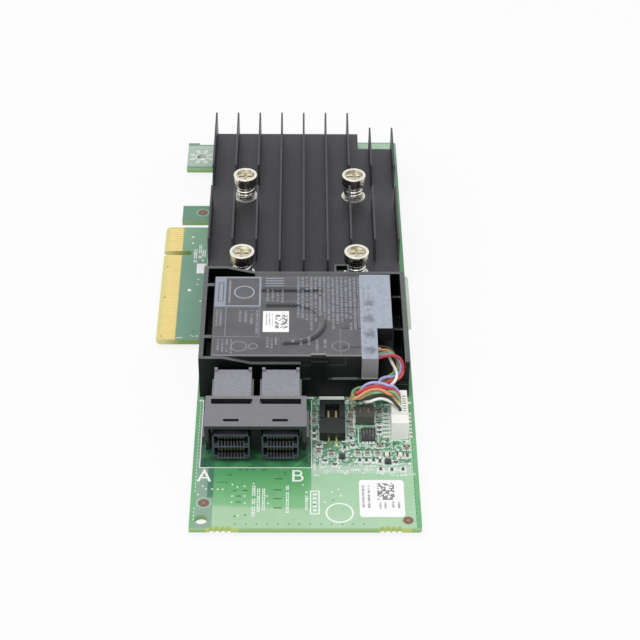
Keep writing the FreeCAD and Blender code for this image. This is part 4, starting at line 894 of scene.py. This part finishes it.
def addTube(mesh, points, radius, sides):
    # a round wire through points, closed at both ends
    rings = []
    for i, point in enumerate(points):
        along = (points[min(i + 1, len(points) - 1)] - points[max(i - 1, 0)]).normalized()
        across = along.cross(Vector((0, 0, 1))).normalized()
        over = across.cross(along)
        rings.append([
            mesh.verts.new(cardPoint(*(point + radius * (across * math.cos(a) + over * math.sin(a)))))
            for a in (2 * math.pi * k / sides for k in range(sides))
        ])
    for first, second in zip(rings, rings[1:]):
        joinRings(mesh, first, second)
    mesh.faces.new(rings[0][::-1])
    mesh.faces.new(rings[-1])


def newPiece(name, finishName, build, smooth=False, stands=()):
    mesh = bmesh.new()
    build(mesh)
    bmesh.ops.recalc_face_normals(mesh, faces=mesh.faces)
    data = bpy.data.meshes.new(name)
    mesh.to_mesh(data)
    mesh.free()
    if smooth:
        data.shade_smooth()
        data.set_sharp_from_angle(angle=math.radians(40))
    data.materials.append(finishes[finishName].material)
    piece = bpy.data.objects.new(name, data)
    bpy.context.scene.collection.objects.link(piece)
    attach(piece, "root")
    if stands:
        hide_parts(*stands)


flap = {
    "x": (26.9, 55.1),
    "section": [(83.1, 12.88), (86.85, 11.26), (86.85, 11.12), (83.1, 12.76)],  # y and z
}


def buildFlap(mesh):
    # the loose edge of the film, which slopes from the pack down to the tray's far wall
    addLoft(mesh, *([(x, *place) for place in flap["section"]] for x in flap["x"]))


newPiece("film_flap", "clearFlap", buildFlap)


spring = {
    "wire": 0.34,  # radius
    "sides": 10,
    "turns": 3.2,
    "stepsPerTurn": 40,
}


def buildSprings(mesh):
    wire = spring["wire"]
    count = round(spring["turns"] * spring["stepsPerTurn"])
    for low, high in islandBoxes("screw_springs"):
        middle = (low + high) / 2
        radius = (high.x - low.x) / 2 - wire
        bottom, top = low.z + wire, high.z - wire
        points = []
        for i in range(count + 1):
            angle = 2 * math.pi * i / spring["stepsPerTurn"]
            points.append(Vector((middle.x + radius * math.cos(angle), middle.y + radius * math.sin(angle),
                                  bottom + (top - bottom) * i / count)))
        addTube(mesh, points, wire, spring["sides"])


newPiece("spring_wire", "springSteel", buildSprings, True, ["screw_springs"])
print("springs wound")


port = {  # the openings of the cable ports
    "wall": 0.34,
    "topBar": 0.5,
    "midBar": 0.42,
    "midBarInset": 0.3,
    "noseLow": 1.2,
    "frontDepth": 3.2,
    "teeth": 9,
    "toothPitch": 0.79,
    "toothWidth": 0.24,
    "toothHeight": 1.15,
    "toothInset": 0.15,
    "hangHeight": 0.55,
    "blockWidth": 0.95,
    "blockHeight": 0.85,
    "footNear": 27.8,
}


def buildReceptacle(mesh, name):
    low, high = nodeBox(name)
    bottom = port["noseLow"]
    back = low.y + port["frontDepth"]
    addBox(mesh, (low.x, high.x), (back, high.y), (bottom, high.z))
    addBox(mesh, (low.x, high.x), (port["footNear"], high.y), (low.z, bottom))
    front = (low.y, back)
    middle = (bottom + high.z) / 2
    halfBar = port["midBar"] / 2
    inset = port["midBarInset"]
    addBox(mesh, (low.x, high.x), front, (high.z - port["topBar"], high.z))
    addBox(mesh, (low.x, high.x), front, (bottom, bottom + port["midBar"]))
    addBox(mesh, (low.x + inset, high.x - inset), front, (middle - halfBar, middle + halfBar))
    for x in (low.x, high.x - port["wall"]):
        addBox(mesh, (x, x + port["wall"]), front, (bottom, high.z))
    # two openings, each with a block at either side and teeth above and below
    openings = ((bottom + port["midBar"], middle - halfBar), (middle + halfBar, high.z - port["topBar"]))
    toothDepth = (low.y + port["toothInset"], back)
    for floor, ceiling in openings:
        for x in (low.x + port["wall"], high.x - port["wall"] - port["blockWidth"]):
            addBox(mesh, (x, x + port["blockWidth"]), front, (floor, floor + port["blockHeight"]))
        for i in range(port["teeth"]):
            x = (low.x + high.x) / 2 + (i - (port["teeth"] - 1) / 2) * port["toothPitch"]
            span = (x - port["toothWidth"] / 2, x + port["toothWidth"] / 2)
            addBox(mesh, span, toothDepth, (floor, floor + port["toothHeight"]))
            addBox(mesh, span, toothDepth, (ceiling - port["hangHeight"], ceiling))


for side in ("a", "b"):
    nodeName = f"port_{side}_receptacle"
    newPiece(f"port_{side}_nose", "nosePlastic",
             lambda mesh, nodeName=nodeName: buildReceptacle(mesh, nodeName), False, [nodeName])
print("ports made")


ink = {  # the white print on the board
    "low": -0.02,
    "high": 0.022,
    "stagger": 0.006,
    "line": 0.24,
    "portBox": ((14.15, 42.25), (21.2, 46.8)),
    "letters": {  # A and B by the ports: legs, then bar and stem, and each bow's low, high, reach
        "legs": [(13.95, 16.2), (15.45, 20.1), (16.95, 16.2)],
        "legLine": 0.6,
        "bars": [((14.6, 16.3), (17.3, 17.8)), ((37.35, 37.95), (16.2, 20.3))],
        "bows": [(16.45, 18.35, 39.0), (18.35, 20.05, 38.8)],
        "bowStart": 37.9,
        "bowLine": 0.5,
    },
    "columns": [  # x, near end, far end, width of the line of print
        (27.9, 3.9, 14.8, 0.8), (29.1, 5.4, 14.2, 0.75), (30.35, 6.0, 13.6, 0.7), (36.2, 5.1, 14.2, 0.7),
        (40.9, 6.2, 12.6, 0.6),
    ],
    "boxColumns": [(42.95, 20.2, 28.4, 0.5), (44.4, 20.8, 27.2, 0.5)],
    "fingerColumns": [(9.1, 106.8, 113.0, 0.9), (10.4, 108.6, 115.2, 0.8), (11.5, 109.2, 112.6, 1.0)],
    "lastColumn": (8.9, 110.4, 111.2, 0.6),
    "lastLabel": (9.2, 73.1, 3, 0.6),
    "ring": (49.0, 5.2, 3.25, 0.42),
    "badge": ((41.9, 44.0), (4.8, 12.8)),
    "badgeBars": {"count": 5, "end": 1.2, "inset": 0.6, "half": 0.28},
    "labels": [  # small reference marks: x, y, letters
        (46.4, 20.0, 3), (49.8, 19.6, 4), (53.2, 20.1, 3), (56.5, 20.2, 3), (59.4, 19.2, 3),
        (62.4, 18.4, 2), (64.6, 18.2, 3), (66.9, 18.6, 3), (45.6, 30.0, 2), (54.0, 21.8, 3),
        (57.2, 21.6, 3), (51.3, 30.9, 2), (60.9, 30.6, 2), (43.6, 18.2, 2), (66.4, 22.2, 2),
        (48.6, 28.9, 2), (60.3, 19.6, 2), (52.1, 45.4, 3), (61.0, 44.6, 2), (54.5, 29.2, 3),
        (57.4, 28.6, 3), (63.0, 31.3, 2), (43.8, 45.2, 2), (66.6, 29.9, 2),
    ],
    "outlines": [("power_inductor", 0.45), ("power_chip", 0.75), ("battery_header", 0.3)],  # node, margin
    "outlineLine": 0.18,
    "patches": [((9.7, 12.3), (101.6, 106.2)), ((67.2, 68.2), (45.5, 46.3)), ((5.4, 7.2), (72.5, 72.75))],
    "margin": 0.3,
    "sideMargin": 0.25,  # added across the ends of a small part
    "partLine": 0.15,
    "ticks": {"x": (13.35, 13.5), "far": 47.0, "near": 3.0, "gap": (8.0, 12.4), "length": 0.7, "pitch": 1.25},
}


def inkLayer():
    # crossing strokes get slightly different heights, so that no two faces lie in one plane
    return ink["low"], ink["high"] + random.uniform(0.0, ink["stagger"])


def inkLine(mesh, points, width, closed=False):
    addRibbon(mesh, points, width, inkLayer(), closed)


def inkBox(mesh, x, y):
    addBox(mesh, x, y, inkLayer())


def inkGlyphs(mesh, x, y, count, size=0.62):
    # unreadable marks: each is one of four shapes of short strokes
    for i in range(count):
        shape = random.choice(("box", "angle", "bars", "tee"))
        left = x + i * size * 1.35
        right, top = left + size * 0.8, y + size
        middle = (left + right) / 2
        strokes = {
            "box": [[(left, y), (right, y), (right, top), (left, top), (left, y)]],
            "angle": [[(left, top), (left, y), (right, y)]],
            "bars": [[(left, y), (left, top)], [(right, y), (right, top)]],
            "tee": [[(left, top), (right, top)], [(middle, y), (middle, top)]],
        }[shape]
        for stroke in strokes:
            inkLine(mesh, stroke, size * 0.22)


def inkColumn(mesh, x, near, far, width):
    # a line of small print that runs along the card
    left, right = x - width / 2, x + width / 2
    stroke = width * 0.34
    y = near
    while y < far:
        length = random.uniform(0.35, 0.75)
        if random.random() > 0.12:
            inkBox(mesh, (left, left + stroke), (y, y + length))
            inkBox(mesh, (right - stroke, right), (y, y + length))
            if random.random() > 0.4:
                inkBox(mesh, (left, right), (y, y + length * 0.4))
        y += length + 0.16


def partBoxes():
    names = ("chip_capacitors", "chip_resistors", "status_leds", "small_transistors")
    return [box for name in names for box in islandBoxes(name)]


def inkCorners(mesh, box):
    # four corner marks round a small part
    low, high = box
    wide = high.x - low.x > high.y - low.y
    x, y = spans(box, *(ink["margin"] + ink["sideMargin"] * ends for ends in (wide, not wide)))
    for i, j in ((0, 0), (1, 0), (1, 1), (0, 1)):
        armX = (x[1] - x[0]) * 0.36 * (1 - 2 * i)
        armY = (y[1] - y[0]) * 0.36 * (1 - 2 * j)
        inkLine(mesh, [(x[i] + armX, y[j]), (x[i], y[j]), (x[i], y[j] + armY)], ink["partLine"])


def inkSocket(mesh):
    # two hooks and two eyes round the foot of the black socket
    low, high = nodeBox("socket_block")
    near = low.y - 0.2
    left, right = low.x - 0.3, high.x + 0.3
    for side, reach, far in ((left, low.x + 0.9, high.y + 0.8), (right, high.x - 0.9, high.y + 6.0)):
        inkLine(mesh, [(side, far), (side, near), (reach, near)], 0.22)
    for x in (low.x - 0.1, high.x + 0.1):
        addRing(mesh, x, low.y + 0.75, 0.62, 0.2, inkLayer(), 16, 1.4)


def buildLegend(mesh):
    (left, right), (near, far) = ink["portBox"]
    inkLine(mesh, [(left, far), (left, near), (right, near), (right, far)], ink["line"])
    letters = ink["letters"]
    inkLine(mesh, letters["legs"], letters["legLine"])
    for bar in letters["bars"]:
        inkBox(mesh, *bar)
    for bottom, top, reach in letters["bows"]:
        arc = circlePoints(reach, (bottom + top) / 2, (top - bottom) / 2, 11, -math.pi / 2, math.pi)
        inkLine(mesh, [(letters["bowStart"], bottom), *arc, (letters["bowStart"], top)], letters["bowLine"])
    for column in ink["columns"]:
        inkColumn(mesh, *column)
    addRing(mesh, *ink["ring"], inkLayer())
    (left, right), (near, far) = ink["badge"]
    inkLine(mesh, rectangle(*ink["badge"]), 0.3, True)
    bars = ink["badgeBars"]
    pitch = (far - near - 2 * bars["end"]) / (bars["count"] - 1)
    for i in range(bars["count"]):
        y = near + bars["end"] + i * pitch
        inkBox(mesh, (left + bars["inset"], right - bars["inset"]), (y - bars["half"], y + bars["half"]))
    for x, y, count in ink["labels"]:
        inkGlyphs(mesh, x - count * 0.35, y, count)
    for box in partBoxes():
        inkCorners(mesh, box)
    for name, margin in ink["outlines"]:
        x, y = spans(nodeBox(name), margin)
        inkLine(mesh, [(x[0], y[1]), (x[0], y[0]), (x[1], y[0]), (x[1], y[1])], ink["outlineLine"])
    inkSocket(mesh)
    for column in ink["boxColumns"]:
        inkColumn(mesh, *column)
    ticks = ink["ticks"]
    y = ticks["far"]
    while y > ticks["near"]:
        if not ticks["gap"][0] < y < ticks["gap"][1]:
            inkBox(mesh, ticks["x"], (y - ticks["length"], y))
        y -= ticks["pitch"]
    for column in ink["fingerColumns"]:
        inkColumn(mesh, *column)
    for patch in ink["patches"]:
        inkBox(mesh, *patch)
    inkColumn(mesh, *ink["lastColumn"])
    inkGlyphs(mesh, *ink["lastLabel"])


lands = {  # bare metal that shows through the mask
    "low": -0.02,
    "high": (0.03, 0.036),
    "vias": [
        (15.2, 14.5), (16.1, 13.5), (17.6, 13.5), (19.0, 13.4), (20.2, 13.4), (14.2, 11.5), (22.6, 15.1),
        (23.8, 14.2), (25.6, 14.5), (27.8, 15.4), (22.6, 11.0), (25.7, 11.0), (22.5, 8.8), (25.8, 8.5),
        (31.2, 11.0), (31.5, 8.5), (24.2, 4.2), (40.0, 15.0), (47.2, 12.4), (49.4, 11.2), (48.8, 13.4),
        (41.2, 10.2), (45.4, 8.9),
    ],
    "scattered": 110,
    "scatterBox": ((43.2, 67.4), (18.8, 46.8)),
    "scatterRadii": (0.2, 0.26, 0.32),
    "partGap": 0.4,
    "keepClear": [((44.2, 51.0), (31, 47)), ((53.4, 58.6), (30.6, 42.4))],  # the socket and the power chip
    "row": (59.8, 60.75, 61.7, 62.6, 63.5),
    "rowY": 28.8,
    "fingerLands": [  # x, y, radius
        (8.0, 119.1, 0.4), (8.1, 116.1, 0.35), (8.1, 93.8, 0.55), (10.4, 98.8, 0.25), (10.2, 96.4, 0.25),
        (11.3, 107.7, 0.4), (11.4, 88.9, 0.3),
    ],
    "bars": [((40.6, 42.9), (47.5, 48.2)), ((13.0, 14.2), (46.3, 47.0))],
}


def landLayer():
    return lands["low"], random.uniform(*lands["high"])


def landDisc(mesh, x, y, radius, count=12):
    addDisc(mesh, x, y, radius, landLayer(), count)


def landBar(mesh, x, y, radius):
    addRoundBar(mesh, x, y, landLayer(), radius)


def buildLands(mesh):
    for x, y in lands["vias"]:
        landDisc(mesh, x, y, 0.26, 14)
    avoided = [spans(box, lands["partGap"]) for box in partBoxes()] + lands["keepClear"]
    placed = 0
    while placed < lands["scattered"]:
        x, y = (random.uniform(*span) for span in lands["scatterBox"])
        if not any(left < x < right and near < y < far for (left, right), (near, far) in avoided):
            landDisc(mesh, x, y, random.choice(lands["scatterRadii"]))
            placed += 1
    for x in lands["row"]:
        landDisc(mesh, x, lands["rowY"], 0.24)
    for box in islandBoxes("chip_terminals"):
        addBox(mesh, *spans(box, 0.16), landLayer())
    low, high = nodeBox("power_chip")
    for i in range(4):
        x = low.x + (high.x - low.x) * (i + 0.5) / 4
        for y in (low.y - 0.75, high.y - 0.1):
            landBar(mesh, (x - 0.3, x + 0.3), (y, y + 0.85), 0.12)
    low, high = nodeBox("power_inductor")
    for x in (low.x - 0.4, high.x - 0.5):
        landBar(mesh, (x, x + 0.9), (low.y + 0.8, high.y - 0.8), 0.1)
    for box in islandBoxes("header_tails"):
        landBar(mesh, *spans(box, 0.15, 0.12), 0.1)
    for land in lands["fingerLands"]:
        landDisc(mesh, *land, 14)
    for bar in lands["bars"]:
        landBar(mesh, *bar, 0.15)


tab = {  # the bracket tab's hole and star
    "hole": (8.8, 161.2),
    "radius": 1.6,
    "plating": 0.06,
    "land": 0.44,
    "petals": 8,
    "petalReach": 3.0,
    "petalHalf": (0.95, 0.62),
    "starBox": ((4.6, 12.2), (155.2, 167.6)),
}


def buildStar(mesh):
    # bare petals around the hole in the bracket tab, cut off at the tab's edges
    x, y = tab["hole"]
    (left, right), (near, far) = tab["starBox"]
    halfLength, halfWidth = tab["petalHalf"]
    for i in range(tab["petals"]):
        angle = math.radians(22.5 + 45 * i)
        petal = []
        for px, py in circlePoints(0, 0, 1.0, 16):
            px, py = tab["petalReach"] + px * halfLength, py * halfWidth
            petal.append((x + px * math.cos(angle) - py * math.sin(angle),
                          y + px * math.sin(angle) + py * math.cos(angle)))
        inside = [(min(max(px, left), right), min(max(py, near), far)) for px, py in petal]
        addPrism(mesh, inside, landLayer())


def buildHole(mesh):
    # the plated mounting hole in the bracket tab, and its land
    plating, land = tab["plating"], tab["land"]
    addRing(mesh, *tab["hole"], tab["radius"] - plating / 2, plating, (-1.56, 0.03), 48)
    addRing(mesh, *tab["hole"], tab["radius"] + land / 2, land, (-0.02, 0.04), 48)


spots = {  # round marks of bare copper
    "places": [(15.7, 8.6), (65.6, 2.6), (10.3, 131.4)],
    "radius": 1.3,
    "centre": 0.34,
    "ring": 1.75,
    "ringLine": 0.24,
    "contactDots": [(1.4, 104.7), (1.4, 90.6), (1.5, 73.3)],
    "dotRadius": 0.24,
}


def buildCopperSpots(mesh):
    for place in spots["places"]:
        addDisc(mesh, *place, spots["radius"], (-0.02, 0.025), 32)
    for place in spots["contactDots"]:
        addDisc(mesh, *place, spots["dotRadius"], (0.04, 0.062), 10)


def buildSpotCentres(mesh):
    for place in spots["places"]:
        addDisc(mesh, *place, spots["centre"], (0.0, 0.034), 16)


def buildSpotRings(mesh):
    for place in spots["places"]:
        addRing(mesh, *place, spots["ring"], spots["ringLine"], (-0.02, 0.02))


planeGaps = {
    "z": (-0.02, 0.012),
    "slots": [  # x, y, length
        (21.9, 18.5, 1.0), (24.3, 20.4, 0.9), (26.0, 20.5, 0.9), (27.7, 20.5, 0.9), (30.4, 20.4, 1.6),
        (19.2, 15.9, 0.5), (20.1, 15.9, 0.5), (21.0, 15.9, 0.5), (34.0, 17.2, 2.0), (33.8, 13.2, 2.2),
        (33.8, 10.1, 2.0), (33.9, 6.9, 2.0), (24.2, 11.0, 1.2), (24.2, 8.9, 1.4), (23.2, 12.9, 0.8),
        (25.8, 13.0, 1.4), (10.1, 75.3, 0.9), (35.5, 19.4, 0.7), (35.8, 18.6, 0.5), (39.6, 17.9, 0.6),
        (23.4, 4.0, 0.6), (26.0, 4.4, 0.6), (39.9, 15.2, 0.6), (47.5, 9.6, 0.4), (42.8, 8.1, 0.5),
    ],
    "halfWidth": 0.2,
    "dots": {"count": 13, "x": 23.6, "pitch": 2.6, "y": 1.3, "radius": 0.2},
    "edge": {"x": (67.62, 67.8), "near": 4.9, "far": 47, "length": 0.6, "pitch": 1.3},
}


def buildDarkMarks(mesh):
    # gaps between the copper planes, which look darker through the mask
    z, half = planeGaps["z"], planeGaps["halfWidth"]
    for x, y, length in planeGaps["slots"]:
        addRoundBar(mesh, (x - length / 2, x + length / 2), (y - half, y + half), z, 0.15)
    dots = planeGaps["dots"]
    for i in range(dots["count"]):
        addDisc(mesh, dots["x"] + dots["pitch"] * i, dots["y"], dots["radius"], z, 10)
    edge = planeGaps["edge"]
    y = edge["near"]
    while y < edge["far"]:
        addBox(mesh, edge["x"], (y, y + edge["length"]), z)
        y += edge["pitch"]


for name, finishName, slot, build in (
    ("board_legend", "legendInk", "sticker", buildLegend),
    ("board_lands", "tinnedLand", "tin", buildLands),
    ("copper_spots", "bareCopper", "gold", buildCopperSpots),
    ("spot_centres", "spotCentre", "gold", buildSpotCentres),
    ("tab_star", "tabStar", "tin", buildStar),
    ("plated_hole", "tabStar", "tin", buildHole),
    ("spot_rings", "paleMask", "board", buildSpotRings),
    ("mask_marks", "darkMask", "board", buildDarkMarks),
):
    newPiece(name, finishName, build)
print("board printed")


solder = {"spread": 0.2, "collar": 0.02, "climb": 0.6}
windows = {"x": (1.25, 0.35), "halfWidth": 0.22, "depth": 0.02, "rise": 0.012}


def buildSolder(mesh):
    # a fillet of solder round the foot of each chip terminal
    for low, high in islandBoxes("chip_terminals"):
        top = low.z + (high.z - low.z) * solder["climb"]
        wide, tight = (rectangle(*spans((low, high), solder[key])) for key in ("spread", "collar"))
        addLoft(mesh, [(x, y, 0.0) for x, y in wide], [(x, y, top) for x, y in tight])


def buildWindows(mesh):
    # the plug's contact windows, dark slots behind each wire
    high = nodeBox("battery_plug")[1]
    half = windows["halfWidth"]
    x = [high.x - back for back in windows["x"]]
    for route in leadRoutes.values():
        y = route[-1][1]
        addBox(mesh, x, (y - half, y + half), (high.z - windows["depth"], high.z + windows["rise"]))


newPiece("solder_fillets", "solder", buildSolder)
newPiece("plug_windows", "windowShade", buildWindows)
print("small parts detailed")


studio = {
    "cameraPlace": (39.466, -318.506, 318.740),
    "pitch": 38.617,
    "yaw": 0.752,
    "roll": 0.586,
    "lens": 104.28,
    "floor": (0.84, 0.84, 0.84, 1.0),
    "floorHalf": 6,
    "floorShow": 0.86,
    "worldStrength": 0.76,
    "keyPower": 4.2,
    "keySize": 0.9,
    "keyPlace": (-0.25, -0.35, 1.0),
}
white = (1, 1, 1, 1)


def buildCamera():
    data = bpy.data.cameras.new("camera")
    data.lens = studio["lens"]
    data.sensor_width = 36.0
    data.clip_start = 0.01
    camera = bpy.data.objects.new("camera", data)
    bpy.context.scene.collection.objects.link(camera)
    pitch, yaw, roll = (math.radians(studio[key]) for key in ("pitch", "yaw", "roll"))
    camera.matrix_world = Matrix.Translation(cardPoint(*studio["cameraPlace"]))
    for angle, axis in ((-yaw, "Z"), (math.pi / 2 - pitch, "X"), (roll, "Z")):
        camera.matrix_world @= Matrix.Rotation(angle, 4, axis)
    bpy.context.scene.camera = camera


def buildWorld():
    # a soft even light, which shows as white where it is looked at
    world = bpy.data.worlds.new("studio")
    bpy.context.scene.world = world
    world.use_nodes = True
    world.node_tree.nodes.clear()
    sky = Shader(world.node_tree)
    output = world.node_tree.nodes.new("ShaderNodeOutputWorld")
    light, shown = (sky.node("ShaderNodeBackground", None, {"Color": white, "Strength": strength})
                    for strength in (studio["worldStrength"], 1.0))
    sky.fill(output.inputs["Surface"], sky.node("ShaderNodeMixShader", None, [sky.sightRays(), light, shown]))


def buildFloor():
    half = studio["floorHalf"]
    mesh = bpy.data.meshes.new("floor")
    mesh.from_pydata([(x, y, 0) for x, y in rectangle((-half, half), (-half, half))], [], [(0, 1, 2, 3)])
    floor = bpy.data.objects.new("floor", mesh)
    bpy.context.scene.collection.objects.link(floor)
    paper = Finish("paleFloor", studio["floor"], 0.9)
    shown = paper.node("ShaderNodeEmission", None, {"Color": white, "Strength": 1.0})
    seen = paper.sightRays() * studio["floorShow"]
    surface = paper.node("ShaderNodeMixShader", None, [seen, Signal(paper, paper.surface.outputs[0]), shown])
    paper.fill(paper.tree.nodes["Material Output"].inputs["Surface"], surface)
    mesh.materials.append(paper.material)


def buildLamp():
    key = bpy.data.lights.new("softKey", "AREA")
    key.shape = "DISK"
    key.size = studio["keySize"]
    key.energy = studio["keyPower"]
    lamp = bpy.data.objects.new("softKey", key)
    lamp.location = studio["keyPlace"]
    lamp.rotation_euler = (-Vector(lamp.location)).to_track_quat("-Z", "Y").to_euler()
    bpy.context.scene.collection.objects.link(lamp)


bpy.context.scene.view_settings.view_transform = "Standard"
buildCamera()
buildWorld()
buildFloor()
buildLamp()
print("studio ready")
